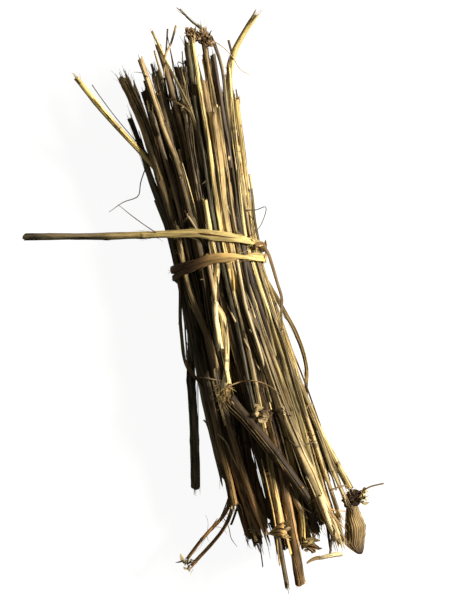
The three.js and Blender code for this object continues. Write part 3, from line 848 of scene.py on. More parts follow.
# How far the strands lie from the band's middle and half their width, each at some rings, in half widths of
# the band.
STRAND_SPREAD = (
    (4, 0.25), (5, 0.5), (6.5, 0.62), (7.6, 0.55), (8.5, 0.42), (10, 0.35), (12, 0.3), (15, 0.5), (22, 0.6),
    (26.5, 1.1), (28.4, 1.0), (31, 0.62), (33.6, 0.5), (35.4, 0.4), (37, 0.45), (39, 0.45), (44, 0.45),
)
STRAND_WIDTH = (
    (4, 0.4), (6, 0.56), (8.5, 0.74), (10.5, 0.5), (12, 0.5), (22, 0.6), (26.5, 0.8), (28.4, 0.82),
    (31, 0.74),
    (33.6, 0.74), (35.4, 0.46), (37.5, 0.72), (39, 0.6), (42, 0.45), (44, 0.4),
)
# The tie's colour along its rings: grey brown stalk, yellow first turn, dark brown then yellow second one.
TIE_TINTS = (
    (0, (0.19, 0.145, 0.08)),
    (2.6, (0.20, 0.15, 0.078)),
    (4, (0.50, 0.37, 0.14)),
    (8, (0.68, 0.52, 0.19)),
    (12, (0.64, 0.48, 0.17)),
    (16, (0.34, 0.21, 0.08)),
    (26, (0.19, 0.115, 0.05)),
    (29, (0.15, 0.09, 0.037)),
    (31.5, (0.15, 0.082, 0.034)),
    (33.6, (0.52, 0.33, 0.11)),
    (35.4, (0.64, 0.46, 0.16)),
    (38, (0.66, 0.50, 0.18)),
    (40, (0.36, 0.22, 0.09)),
    (44, (0.28, 0.16, 0.065)),
)
TIE_SHAPE = {
    "ribs": 5, "rib_depth": 0.14, "bark": 0.36, "knot_places": (37 * MM, 52 * MM), "shoots": 0, "slant": 1.2,
    "wander": 0.5 * MM,
}
TIE_FIBRES = 60
# The slit between the strands of the tie's first turn, painted as shade with a dark tube: its first and last
# ring, half width and colour.
SLIT_RINGS = (4.2, 9.2)
SLIT_HALF = 0.42 * MM
SLIT_SHADE_TINT = (0.10, 0.036, 0.014)


def band_rings():
    """The tie's rings from its free end on: x, y, z, half width, half thickness and ring number."""
    mesh = bmesh.new()
    mesh.from_mesh(NODES["binding"].data)
    bmesh.ops.remove_doubles(mesh, verts=mesh.verts, dist=WELD)
    caps = [corner for corner in mesh.verts if len(corner.link_edges) == BAND_SIDES]
    level = {min(caps, key=lambda corner: corner.co.x)}
    seen = set(level)
    rings = []
    while level:
        rings.append(np.array([corner.co for corner in level]))
        level = {edge.other_vert(corner) for corner in level for edge in corner.link_edges} - seen
        seen |= level
    mesh.free()
    rings = rings[1:-1]
    centres = np.array([ring.mean(axis=0) for ring in rings])
    _, side, up = axes_along(centres, outward(centres))
    rows = []
    for k, ring in enumerate(rings):
        spread = ring - centres[k]
        rows.append([*centres[k], np.abs(spread @ side[k]).max(), np.abs(spread @ up[k]).max(), k])
    return np.array(rows)


def outward(centres):
    """The way out of the bundle's waist at each point."""
    middle = np.column_stack([np.full(len(centres), TIE_X), centres[:, 1], np.full(len(centres), WAIST_Z)])
    return centres - middle


def tie_tint(rings):
    """The tie's colour at some ring numbers."""
    return colours_at(rings, TIE_TINTS)


def add_strand(skin, path, hand, rng):
    """One of the two flat strands that the tie's stalk splits into."""
    centres, half, thick, ring = path[:, :3], path[:, 3], path[:, 4], path[:, 5]
    _, side, up = axes_along(centres, outward(centres))
    along = travelled(centres)
    v = along / along[-1]
    stray = value_noise(rng, 16, 1, np.zeros(len(v)), v)
    apart = np.interp(ring, *zip(*STRAND_SPREAD))
    swapped = 1 - 2 * smoothstep(SWAP_RING - 1.6, SWAP_RING + 1.6, ring)
    shift = hand * (apart * swapped + 0.05 * stray) * half
    over = thick * hand * 0.6 * (1 - swapped**2)
    centres = centres + shift[:, None] * side + over[:, None] * up
    columns = 25
    u, vv = np.meshgrid(np.linspace(0, 1, columns), v)
    ridges = 1 + 0.16 * value_noise(rng, 50, 12, u, vv) + 0.1 * value_noise(rng, 14, 5, u, vv)
    width = half * np.interp(ring, *zip(*STRAND_WIDTH))
    widths = (width * (1 + 0.14 * value_noise(rng, 22, 1, np.zeros(len(v)), v)))[:, None] * ridges
    depths = (thick * (0.75 + 0.2 * stray))[:, None] * ridges
    widths[[0, -1]] *= 0.3
    depths[[0, -1]] *= 0.3
    rows = rows_round(centres, side, up, widths, depths)
    first, last = (centres[None, k:k + 1].repeat(columns, axis=1) for k in (0, len(path) - 1))
    rows = np.concatenate([first, rows, last])
    rows[..., 2] = np.maximum(rows[..., 2], FLOOR_GAP)
    ends = np.concatenate([[0], np.arange(len(path)), [len(path) - 1]])
    tint = tie_tint(ring)[ends][:, None, :] * (0.9 + 0.13 * hand)
    finish = np.zeros(rows.shape[:2] + (4,))
    finish[..., 0] = 0.22 + 0.25 * value_noise(rng, 30, 4, u, vv)[ends]
    finish[..., 3] = 0.5 + 0.4 * value_noise(rng, 24, 7, u, vv)[ends]
    places = np.stack([(u * 8)[ends], (vv * along[-1] / MM)[ends]], axis=2) + rng.uniform(0, 300, 2)
    skin.add(rows, places, finish, np.broadcast_to(tint, rows.shape))


# The leaf

# How the leaf lies in the photograph: a row, and its left and right edge there.
LEAF_EDGES = (
    (492, 347, 355), (500, 346.5, 356.5), (507, 346, 358.5), (515, 345.5, 361.5), (525, 345, 365.8),
    (534, 344.8, 365.8), (544, 344.4, 364.3), (548, 349, 363.8), (551.5, 354, 363), (553.5, 357.5, 361.8),
)
LEAF_ROWS = 120
LEAF_COLUMNS = 193
# How far above its tip the leaf's solid is the blade alone, without its stalk.
LEAF_BLADE = 21 * MM
# How far to the right of the blade's neck the leaf's stalk stands clear of it, and its half width there.
LEAF_STALK_REACH = 5 * MM
LEAF_STALK_HALVES = (0.45 * MM, 0.35 * MM)
LEAF_THICKNESS = 0.28 * MM
LEAF_TINTS = (
    (0.0, (0.10, 0.058, 0.03)),
    (0.2, (0.20, 0.13, 0.06)),
    (0.38, (0.40, 0.28, 0.12)),
    (0.75, (0.35, 0.235, 0.10)),
    (0.93, (0.15, 0.095, 0.045)),
    (1.0, (0.03, 0.022, 0.015)),
)
# Torn tissue at the leaf's base: how many scraps, the columns and rows of the photograph where they lie,
# their lengths and half widths in mm, their colour and their curl.
LEAF_TISSUE = (
    (40, (341, 356), (492, 504), (2.0, 4.5), (0.7, 1.5), (0.058, 0.034, 0.019), 0.8),
    (24, (359, 365), (488, 504), (1.2, 3.0), (0.5, 1.0), (0.74, 0.62, 0.33), 1.8),
)


def leaf_rings():
    """The leaf blade's rings from its neck to its tip: x, y, top z and edge z."""
    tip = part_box("dry_leaf")[0][1]
    rows = []
    for ring in solid_rings("dry_leaf", LEAF_RING_GAP):
        if ring[:, 1].mean() > tip + LEAF_BLADE:
            continue
        outer = ring[np.argmax(np.abs(ring[:, 0] - ring[:, 0].mean()))]
        rows.append([ring[:, 0].mean(), ring[:, 1].mean(), ring[:, 2].max(), outer[2]])
    return np.array(rows)


def leaf_stalk_line():
    """The leaf's own stalk from the blade's neck out to its tip at the right, with its radius."""
    neck = leaf_rings()[0]
    points = solid_points("dry_leaf")
    points = points[points[:, 0] > neck[0] + LEAF_STALK_REACH]
    points = points[points[:, 1] > neck[1]]
    points = points[np.argsort(points[:, 0])]
    rings = np.split(points, np.nonzero(np.diff(points[:, 0]) > LEAF_RING_GAP)[0] + 1)
    rows = [(*neck[:3], LEAF_STALK_HALVES[0])]
    rows.extend((*ring.mean(axis=0), LEAF_STALK_HALVES[1]) for ring in rings)
    return smooth_path(rows, 1.0 * MM)


def add_leaf(skin, rng):
    """The dry leaf: arched across, ridged along its wavy veins, with a pale rim and a dark curled tip."""
    rings = leaf_rings()[::-1]
    edges = np.array(LEAF_EDGES)
    v = np.linspace(0, 1, LEAF_ROWS)
    photo_rows = edges[0, 0] + v * (edges[-1, 0] - edges[0, 0])
    lefts, rights = (
        np.column_stack(on_photo(np.interp(photo_rows, edges[:, 0], edges[:, k]), photo_rows))
        for k in (1, 2))
    u, vv = np.meshgrid(np.linspace(0, 1, LEAF_COLUMNS), v)
    angles = (2 * u - 0.5) * math.pi
    across = np.cos(angles)
    over = np.abs(2 * u - 1)
    share = (0.5 + 0.5 * across * (1 + 0.03 * value_noise(rng, 20, 2, np.round(u), vv)))[..., None]
    flat = lefts[:, None, :] * (1 - share) + rights[:, None, :] * share
    middle_y = (lefts[:, 1] + rights[:, 1]) / 2
    top, edge = (np.interp(middle_y, rings[:, 1], rings[:, k])[:, None] for k in (2, 3))
    wave = 4.0 * value_noise(rng, 5, 3, over, vv) + 2.2 * value_noise(rng, 14, 5, over, vv)
    veins = np.sin(9 * math.pi * across + wave)
    crumple = 0.6 * MM * value_noise(rng, 7, 3, over, vv) * (1.2 - vv)
    rim = smoothstep(0.78, 1.0, -across)
    z = edge + (top - edge) * (1 - across**2) + crumple + (0.08 * veins + 0.6 * rim) * MM
    rows = np.concatenate([flat, (z + np.sin(angles) * LEAF_THICKNESS)[..., None]], axis=2)
    middle = rows.mean(axis=1, keepdims=True).repeat(LEAF_COLUMNS, axis=1)
    rows = np.concatenate([middle[:1], rows, middle[-1:]])
    ends = np.concatenate([[0], np.arange(LEAF_ROWS), [LEAF_ROWS - 1]])
    tint = colours_at(v, LEAF_TINTS)
    patches = 0.9 + 0.4 * value_noise(rng, 6, 3, over, vv)
    # Painted shade: the leaf's right side towards its tip is painted darker, where its edge turns down.
    painted_right_shade = 1 - 0.5 * smoothstep(0.0, 0.9, across) * smoothstep(0.3, 0.85, vv)
    shade = (patches * painted_right_shade * (0.9 + 0.55 * veins) * (1 + 1.6 * rim))[..., None]
    finish = np.zeros(rows.shape[:2] + (4,))
    finish[..., 0] = 0.12
    finish[..., 3] = 0.5
    length = abs(middle_y[-1] - middle_y[0]) / MM
    places = np.stack([(across * 4)[ends], (vv * length)[ends]], axis=2)
    skin.add(rows, places, finish, (tint[:, None, :] * np.maximum(shade, 0.15))[ends])


# The seed head and the bud

# The seed head's petals: how many, the turn from one to the next, and the colours of their core and of them;
# the petals run from a shaded colour to a lit one by painted light.
SEED_PETALS = 40
PETAL_TURN = 2.4
SEED_CORE = (0.05, 0.032, 0.018)
SEED_SHADED_PETAL = (0.13, 0.08, 0.04)
SEED_LIT_PETAL = (0.72, 0.55, 0.26)
# The bud from its mouth to its stalk: a share of its length, and its girth there in half widths.
BUD_PROFILE = (
    (0.0, 0.88), (0.12, 0.96), (0.35, 0.9), (0.55, 0.66), (0.7, 0.4), (0.8, 0.22), (0.9, 0.16), (1.0, 0.13),
)
# How the bud's mouth turns in from its rim.
BUD_MOUTH = ((0.9, 0.02), (0.8, 0.3), (0.55, 0.9), (0.2, 1.1), (0, 1.1))
BUD_SHAPE = {
    "ribs": 9, "crests": 1, "rib_depth": 0.2, "bark": 0.2, "step": 0.35 * MM, "ragged": 0.35, "slant": 0.1,
    "wander": 0.0, "knot_spacing": 40 * MM, "end": BUD_MOUTH,
}
BUD_TINT = (0.40, 0.28, 0.12)
BUD_BRACTS = 16


# Torn ends

# Ends that are torn more than most: splinters, fibres, and how far they reach past the end.
FRAYS = {
    ("frayed_tip_stalk", "tip"): (14, 10, 4 * MM),
    ("left_thick_stalk", "tip"): (10, 6, 1.6 * MM),
    ("right_bent_stalk", "tip"): (9, 3, 1.6 * MM),
    ("thick_dark_stalk", "tip"): (10, 6, 2 * MM),
    ("right_fan_stalk_1", "butt"): (11, 5, 5 * MM),
    ("right_fan_stalk_2", "butt"): (11, 5, 5 * MM),
    ("right_fan_stalk_3", "butt"): (11, 5, 5 * MM),
    ("right_edge_stalk", "butt"): (9, 6, 4 * MM),
    ("right_pale_stalk", "butt"): (11, 5, 5 * MM),
}
# How far plain ends fray past a stalk's end, and how far before it splinters and fibres set out.
PLAIN_FRAY_REACH = 2 * MM
FRAY_COVERED = 4 * MM
SPLINTER_TINT = (0.5, 0.36, 0.16)
# The tips that share one crumbled head.
HEAD_TIPS = ("thick_dark_stalk", "bright_tip_stalk", "frayed_tip_stalk")
HEAD_TINT = (0.30, 0.19, 0.085)
HEAD_CRUMBS = 330
# Where the crumbled head lies in the photograph: columns, rows, and how far it slopes down to the right.
HEAD_COLUMNS = (187, 212)
HEAD_ROWS = (32, 42)
HEAD_SLOPE = 0.3
# The torn foot of a bright butt: pale blades above, brown ones below.
FOOT_PALE_BLADES = 12
FOOT_BROWN_BLADES = 10
FOOT_PALE = (0.86, 0.68, 0.30)
FOOT_BROWN = (0.34, 0.21, 0.09)


# Twigs and litter

# Colours of hairs, twigs and thin stems.
DARK_HAIR = (0.12, 0.10, 0.075)
PALE_HAIR = (0.50, 0.38, 0.20)
BROWN_TWIG = (0.24, 0.155, 0.07)
DARK_TWIG = (0.11, 0.08, 0.048)
TORN_WOOD = (0.62, 0.50, 0.26)
GREY_STRAW = (0.52, 0.42, 0.24)
# Hairs, twigs and thin stems that can be told apart: radius in mm, flatness, colour, and a route of pixels,
# each with a lift in mm over what lies there.
TENDRILS = (
    (0.25, 1.0, DARK_HAIR, ((146, 168, 0), (141, 184, 1), (139, 196, 1), (124, 203, 2), (110, 213, 3))),
    (0.22, 1.0, DARK_HAIR, ((158, 234, 0), (150, 229, 1), (136, 219, 2), (121, 207, 4))),
    (0.22, 1.0, DARK_HAIR, ((246, 211, 0), (256, 211, 1), (265, 208, 2), (262, 223, 1), (253, 236, 0))),
    (0.20, 1.0, DARK_HAIR, ((248, 214, 0), (255, 224, 1), (254, 236, 0))),
    (0.22, 1.0, PALE_HAIR,
     ((208, 42, 0), (214, 44, 1), (223, 50, 2), (234, 62, 2), (240, 72, 2), (250, 78, 2))),
    (0.32, 1.0, BROWN_TWIG,
     ((228, 384, 0), (241, 380, 2), (252, 378.5, 3), (262, 381, 3), (273, 387, 1), (281, 394, 0))),
    (0.45, 1.0, DARK_TWIG, ((279, 428, 0), (286, 437, 1), (294, 442, 1), (303, 443, 1), (316, 439, 1))),
    (0.38, 1.0, PALE_HAIR, ((218, 432, 0.6), (225, 439, 0.6), (232, 454, 0.4), (241, 472, 0))),
    (0.40, 1.0, BROWN_TWIG, ((330, 488, 0), (340, 484.6, 1), (348, 484, 0.6))),
    (0.75, 0.45, (0.22, 0.145, 0.07),
     ((263, 246, 1.2), (268, 254, 1), (272, 266, 0.8), (277, 283, 0.8), (281.5, 299, 0.5), (281, 312, 0),
      (282, 326, 0))),
    (0.18, 1.0, PALE_HAIR, ((222, 516, 0), (228, 526, 0), (231, 540, -4), (237, 551, -9))),
    (0.15, 1.0, PALE_HAIR, ((256, 505, 0), (262, 522, 0.5), (268, 545, 1), (270, 556, -2))),
    (0.28, 1.0, PALE_HAIR, ((300, 503, 0), (308, 508, 0.5), (317, 514, 1), (326, 520.6, 1), (334, 523, 0))),
    (0.45, 1.0, (0.46, 0.27, 0.09),
     ((300, 482, 0), (309, 492, 0.5), (320.6, 501, 0.6), (333, 508, 0.6), (346, 511, 0))),
    (0.30, 1.0, PALE_HAIR, ((200, 377, 0), (208, 377, 1), (217, 379, 0))),
    (0.16, 1.0, DARK_HAIR, ((150, 82, 0), (143, 78, 1), (136, 78, 2))),
    (0.25, 1.0, DARK_HAIR, ((190, 62, 0), (183, 62, 1), (179, 70, 1), (181, 80, 0))),
    (0.42, 1.0, (0.36, 0.25, 0.12), ((167, 98.6, 0), (175, 105, 0.4), (184, 110, 0.4), (191.6, 117, 0))),
    (0.40, 1.0, DARK_TWIG, ((168.7, 33, 1), (167.5, 50, 0.6), (166, 70, 0))),
    (0.50, 1.0, (0.52, 0.37, 0.17), ((177, 29, 1), (172, 46, 0.6), (167, 63, 0), (165, 80, 0))),
    (0.55, 1.0, DARK_TWIG, ((228.5, 42, 1), (231, 52, 0.4), (233, 62, 0))),
    (0.80, 0.6, (0.20, 0.115, 0.05),
     ((254, 250, 0), (255, 246.5, 0.4), (259, 244.5, 0.8), (264, 245.5, 0.8), (266, 249, 0.5),
      (262, 251.5, 0.2))),
    (0.60, 0.6, (0.30, 0.18, 0.08), ((252, 247, 0.2), (258, 248.5, 0.8), (264, 247.5, 0.8), (268, 251, 0.4))),
    (0.50, 1.0, DARK_TWIG, ((335, 512, 0), (340, 526, 0), (343, 540, 0))),
    (0.38, 1.0, PALE_HAIR,
     ((222, 293, 0), (228, 306, 0.4), (234, 318, 0.5), (240, 330, 0.5), (246, 342, 0.5), (252, 354, 0.5),
      (258, 366, 0.5), (266, 380, 0.4), (273, 394, 0))),
    (0.75, 0.8, GREY_STRAW,
     ((236.5, 258, -2.6), (239, 271, 0), (241, 283, 0), (243, 294, 0), (245, 305, 0), (248.5, 316, 0),
      (252, 327, 0), (255, 336, 0), (258, 345, 0), (262.5, 362, 0), (267, 379, 0), (270, 392, -0.5))),
    (0.80, 0.8, (0.055, 0.045, 0.030),
     ((243, 257, -2.6), (246, 275, 0), (249, 290, 0), (253, 306, 0), (257, 321, 0), (262, 338, -0.5))),
    (0.70, 0.6, (0.62, 0.40, 0.11), ((230, 258, -2.6), (231.5, 268, 0.2), (233, 278, 0.2), (234.5, 291, 0))),
    (0.50, 0.8, GREY_STRAW, ((186, 212, 0), (189, 218, 0.2), (193, 224, 0.2), (198, 232, -2.4))),
    (0.50, 0.8, GREY_STRAW, ((201, 237, -2.4), (206, 244, 0.2), (212, 252, -2.4))),
)
# Broad torn butts at the lower right: half width in mm, colour, and a route of pixels with a lift in mm.
TORN_BUTTS = (
    (1.35, (0.58, 0.46, 0.24), ((316, 486, -0.8), (324, 507, -0.6), (330, 523, -0.6), (336, 540, -0.9))),
    (1.10, (0.42, 0.30, 0.14), ((288, 480, -0.6), (298, 503, -0.5), (308, 519, -0.5), (316, 531, -0.8))),
    (0.90, (0.30, 0.20, 0.09), ((318, 492, -0.6), (328, 508, -0.4), (337, 524, -0.4), (344, 541, -0.6))),
)
TORN_SHAPE = {
    "ribs": 4, "rib_depth": 0.25, "bark": 0.15, "wander": 0.3 * MM, "shoots": 0, "slant": 2.4, "ragged": 2.0,
}
TORN_SLIVERS = 9
# A chip that a twig holds past the butts: the twig's route and half width, then the chip's two halves.
CHIP_TWIG = ((331, 524, -1.2), (329.5, 537, -1.4), (328, 551, -1.6))
CHIP_TWIG_HALF = 0.5 * MM
CHIP_HALVES = (
    ((0.86, 0.72, 0.40), ((317, 552.8, 0.8), (328, 551, 1.1), (336, 549.4, 1.15), (341.5, 549, 1.0))),
    ((0.36, 0.24, 0.11), ((305, 558.5, 0.35), (309, 556, 0.6), (315, 553.6, 0.8), (324, 551.8, 0.85))),
)
CHIP_SHAPE = {**TORN_SHAPE, "ragged": 0.8, "slant": 0.4, "end": THIN_END}
# The split strips: scraps in the torn lump at their ends, and fibres that cross between them.
LUMP_SCRAPS = 16
CROSSING_FIBRES = 14
# The share of bark strips that are long.
LONG_STRIPS = 0.7
ROOT_FIBRE_TINT = (0.40, 0.27, 0.105)
LEAF_BIT_TINT = (0.46, 0.34, 0.17)
# Where scraps of leaf show in the photograph.
LEAF_BIT_PIXELS = (
    (204, 377), (202, 375), (212, 394), (254, 306), (280, 328), (282, 332), (283, 432), (246, 110),
    (172, 95), (180, 102), (188, 112), (205, 185), (206, 200), (208, 212), (236, 100), (310, 437), (300, 540),
    (312, 542), (330, 530), (262, 395), (222, 395), (300, 505), (270, 470),
)


# The stage

FLOOR_HALF = 4.0
# The key light stands to the right of the photograph and a little towards the tips: its bearing in pixels.
KEY_BEARING = (100, -28)
KEY_DISTANCE = 1.4
KEY_SIZE = 0.35
SENSOR_HEIGHT = 36.0


# Shader writing

class Socket:
    """A node's output that Python arithmetic turns into Math nodes."""

    def __init__(self, paint, socket):
        self.paint = paint
        self.socket = socket

    def math(self, operation, first, second):
        return self.paint.node("ShaderNodeMath", {"operation": operation}, {0: first, 1: second})

    def __add__(self, other):
        return self.math("ADD", self, other)

    def __radd__(self, other):
        return self.math("ADD", other, self)

    def __sub__(self, other):
        return self.math("SUBTRACT", self, other)

    def __rsub__(self, other):
        return self.math("SUBTRACT", other, self)

    def __mul__(self, other):
        return self.math("MULTIPLY", self, other)

    def __rmul__(self, other):
        return self.math("MULTIPLY", other, self)

    def __pow__(self, other):
        return self.math("POWER", self, other)


class Paint:
    """One material's node tree."""

    def __init__(self, name):
        self.material = bpy.data.materials.new(name)
        self.material.use_nodes = True
        self.tree = self.material.node_tree
        self.tree.nodes.clear()

    def node(self, kind, settings=None, inputs=None, output=0):
        """Adds a node, sets it, then gives its sockets values or links."""
        node = self.tree.nodes.new(kind)
        for name, value in (settings or {}).items():
            setattr(node, name, value)
        for key, value in (inputs or {}).items():
            if isinstance(value, Socket):
                self.tree.links.new(value.socket, node.inputs[key])
            else:
                node.inputs[key].default_value = value
        return Socket(self, node.outputs[output]) if node.outputs else None

    def mix(self, share, first, second):
        """A colour between two colours."""
        settings = {"data_type": "RGBA", "clamp_factor": True}
        return self.node("ShaderNodeMix", settings, {0: share, 6: first, 7: second}, output=2)

    def scaled(self, colour, amount):
        """A colour made brighter or darker."""
        return self.node("ShaderNodeVectorMath", {"operation": "SCALE"}, {0: colour, "Scale": amount})

    def ramp(self, value, low, high):
        """A value's smooth step from 0 to 1."""
        settings = {"interpolation_type": "SMOOTHSTEP"}
        return self.node("ShaderNodeMapRange", settings, {"Value": value, 1: low, 2: high, 3: 0.0, 4: 1.0})

    def grain(self, places, across, along, detail):
        """Noise drawn out along a surface, in cycles a millimetre."""
        stretched = self.node("ShaderNodeMapping", {}, {"Vector": places, "Scale": (across, along, 1.0)})
        return self.node("ShaderNodeTexNoise", {}, {"Vector": stretched, "Scale": 1.0, "Detail": detail})

    def attribute(self, name, output):
        return self.node("ShaderNodeAttribute", {"attribute_name": name}, {}, output)

    def finish(self, colour, roughness, normal, specular):
        """Ends the tree in one surface shader."""
        shader = self.node("ShaderNodeBsdfPrincipled", {}, {
            "Base Color": colour, "Roughness": roughness, "Normal": normal, "Specular IOR Level": specular,
        })
        self.node("ShaderNodeOutputMaterial", {}, {"Surface": shader})
        return self.material


def rgba(colour):
    return (*colour, 1.0)


def plant_material(name, look, bark_dark, shine):
    """Dry plant matter: streaked wood under weathered bark, dark knots and specks, pale pith."""
    paint = Paint(name)
    places = paint.node("ShaderNodeUVMap", {"uv_map": "surface"})
    tint = paint.attribute("tint", "Color")
    masks = paint.node("ShaderNodeSeparateColor", {}, {"Color": paint.attribute("finish", "Color")})
    split = masks.socket.node.outputs
    bark, knot, pith = (Socket(paint, split[k]) for k in range(3))
    # The tone's channel holds random tone and, on stalks, painted shade in their grooves.
    tone_and_groove_shade = paint.attribute("finish", "Alpha")
    streaks = paint.grain(places, 0.95, 0.07, 5.0)
    fibres = paint.grain(places, 3.2, 0.22, 3.0)
    blotches = paint.grain(places, 0.5, 0.22, 5.0)
    specks = paint.grain(places, 2.6, 1.7, 2.0)

    grain = 2.6 * (streaks - 0.5) + 1.6 * (fibres - 0.5)
    wood = paint.scaled(tint, paint.ramp(0.5 + 0.42 * grain + 0.55 * (tone_and_groove_shade - 0.5), -0.1, 1.1) * 1.6 + 0.06)
    shade = paint.mix(look.bark_share, paint.scaled(tint, bark_dark), rgba(look.bark))
    weathering = paint.ramp(0.5 + 0.5 * grain + 0.9 * (blotches - 0.5) + 0.5 * (tone_and_groove_shade - 0.5), 0.0, 1.0)
    bark_colour = paint.scaled(shade, weathering * 1.8 + 0.08)
    barked = paint.ramp(bark + 1.2 * (streaks - 0.5) + 0.8 * (fibres - 0.5), 0.34, 0.66)
    colour = paint.mix(barked * 0.92, wood, bark_colour)
    stained = paint.ramp(knot + 0.7 * (blotches - 0.5), 0.45, 0.9)
    colour = paint.mix(stained * 0.75, colour, rgba(look.scar))
    dark_specks = paint.ramp(specks, 0.64, 0.72)
    colour = paint.mix(dark_specks * 0.55, colour, rgba(look.scar))
    inside = paint.scaled(tuple(look.pith), 0.55 + 0.8 * specks)
    colour = paint.mix(pith * 0.85, colour, inside)

    roughness = 0.46 + 0.26 * barked + 0.24 * fibres - 0.06 * streaks
    relief = 0.5 * streaks + 0.5 * fibres + 0.5 * barked - 0.3 * dark_specks
    normal = paint.node("ShaderNodeBump", {}, {"Height": relief, "Strength": 0.55, "Distance": 0.25 * MM})
    return paint.finish(colour, roughness, normal, shine)


# What a user may change

class StalkLook(bpy.types.PropertyGroup):
    """The stalks' weathering."""

    bark: FloatVectorProperty(
        name="Bark", description="Colour of weathered bark", subtype="COLOR", size=3,
        default=(0.062, 0.052, 0.030))
    bark_share: FloatProperty(
        name="Bark share", description="How far bark hides a stalk's own colour", subtype="FACTOR",
        default=0.45, min=0, max=1)
    scar: FloatVectorProperty(
        name="Scar", description="Colour of knots, scars and specks", subtype="COLOR", size=3,
        default=(0.030, 0.021, 0.012))
    pith: FloatVectorProperty(
        name="Pith", description="Colour of cut ends", subtype="COLOR", size=3,
        default=(0.62, 0.47, 0.23))
    seed: IntProperty(name="Seed", description="Draw of ribs, knots and bark", default=11)


class ThinStemLook(bpy.types.PropertyGroup):
    """The thin stems that fill the bundle."""

    count: IntProperty(name="Count", description="Number of thin stems", default=430, min=0)
    thinnest: FloatProperty(
        name="Thinnest", description="Radius of the thinnest stem", unit="LENGTH", default=0.25 * MM)
    thickest: FloatProperty(
        name="Thickest", description="Radius of the thickest stem", unit="LENGTH", default=0.85 * MM)
    seed: IntProperty(name="Seed", description="Draw of the thin stems", default=23)


class LitterLook(bpy.types.PropertyGroup):
    """The bark strips, root fibres and leaf bits."""

    bark_strips: IntProperty(
        name="Bark strips", description="Number of peeled strips of bark", default=950, min=0)
    root_fibres: IntProperty(
        name="Root fibres", description="Number of fibres at the crown", default=300, min=0)
    leaf_bits: IntProperty(
        name="Leaf bits", description="Number of spots with leaf scraps", default=20, min=0)
    seed: IntProperty(name="Seed", description="Draw of the litter", default=37)


class StageLook(bpy.types.PropertyGroup):
    """The floor, the lights and the camera."""

    floor: FloatVectorProperty(
        name="Floor", description="Colour of the floor", subtype="COLOR", size=3, default=(0.16, 0.16, 0.16))
    floor_glow: FloatProperty(name="Floor glow", description="Light of the floor itself", default=0.93)
    key: FloatProperty(name="Key", description="Power of the key light in watts", default=52.0)
    key_colour: FloatVectorProperty(
        name="Key colour", description="Colour of the key light", subtype="COLOR", size=3,
        default=(1.0, 0.94, 0.84))
    key_rise: FloatProperty(
        name="Key rise", description="Height of the key light over the horizon", subtype="ANGLE",
        default=math.radians(28))
    fill: FloatProperty(name="Fill", description="Strength of the light from all round", default=0.13)
    lens: FloatProperty(name="Lens", description="Focal length in millimetres", default=85.0)


# Making the pieces

# How dark a slot's bark is against its wood, and how much it shines.
SLOT_FINISHES = {
    "stalk_grey": (0.45, 0.16),
    "stalk_straw": (0.32, 0.3),
    "stalk_brown": (0.38, 0.16),
    "binding": (0.4, 0.25),
    "leaf": (0.4, 0.2),
    "seed": (0.4, 0.2),
}
# Materials are shared by the pieces of a slot, so each is made once.
MATERIALS = {}


def slot_material(slot):
    """The finish of a slot's pieces."""
    if slot not in MATERIALS:
        MATERIALS[slot] = plant_material(slot, bpy.context.scene.smudge_stalks, *SLOT_FINISHES[slot])
    return MATERIALS[slot]


class SMUDGE_OT_stalks(bpy.types.Operator):
    """Skins every stalk of the bundle along its own line"""

    bl_idname = "smudge.stalks"
    bl_label = "Skin the stalks"

    def execute(self, context):
        look = context.scene.smudge_stalks
        for index, node in enumerate(STALKS):
            rng = np.random.default_rng([look.seed, index])
            slot = SLOTS[node]
            # The drawn colour carries painted shade on the bundle's left side.
            drawn = slot_tint(slot, rng) * painted_left_shade(LINES[node])
            shape = slot_shape(slot, rng)
            shape["bark"] = BARK_SHARES.get(node, shape["bark"])
            shape["ragged"] = TORN_ENDS.get(node, shape["ragged"])
            tint = turned_tint(node) if node in STALK_TURNS else np.array(STALK_TINTS.get(node, drawn))
            skin = Skin()
            if node == "crown_stalk":
                self.crown(skin, LINES[node], shape, rng)
            else:
                add_stalk(skin, LINES[node], shape, tint, rng)
            skin.piece(f"{node}_skin", slot_material(slot), slot, node)
        return {"FINISHED"}

    def crown(self, skin, line, shape, rng):
        """The crown: a smooth forked shoot above it and a rough root below it."""
        crown_y = on_photo(*CROWN_PIXEL)[1]
        for (tint, bark), part in ((CROWN_SHOOT, line[line[:, 1] > crown_y - CROWN_OVERLAP]),
                                   (CROWN_ROOT, line[line[:, 1] < crown_y + CROWN_OVERLAP])):
            part = part * (1, 1, 1, CROWN_SWELL)
            add_stalk(skin, part, {**shape, **CROWN_SHAPE, "bark": bark}, np.array(tint), rng)
        for half, tint, route in CROWN_BRANCHES:
            points = np.array([on_photo(*pixel) for pixel in route])
            heights = np.interp(points[:, 1], line[::-1, 1], line[::-1, 2]) + BRANCH_LIFT
            branch = np.column_stack([points, heights, np.full(len(points), half * MM)])
            add_stalk(skin, branch, BRANCH_SHAPE, np.array(tint), rng)


class SMUDGE_OT_thin_stems(bpy.types.Operator):
    """Fills the bundle with thin stems"""

    bl_idname = "smudge.thin_stems"
    bl_label = "Lay the thin stems"

    def execute(self, context):
        look = context.scene.smudge_thin_stems
        rng = np.random.default_rng(look.seed)
        slots = list(STALK_SHAPES)
        skins = {slot: Skin() for slot in slots}
        for line in thin_stem_lines(look, rng):
            slot = slots[rng.integers(len(slots))]
            shape = slot_shape(slot, rng)
            shape.update(THIN_SHAPE)
            # Thin stems carry the same painted shade on the bundle's left side.
            add_stalk(skins[slot], line, shape, slot_tint(slot, rng) * painted_left_shade(line), rng)
        for slot, skin in skins.items():
            skin.piece(f"thin_stems_{slot.removeprefix('stalk_')}", slot_material(slot), slot)
        return {"FINISHED"}


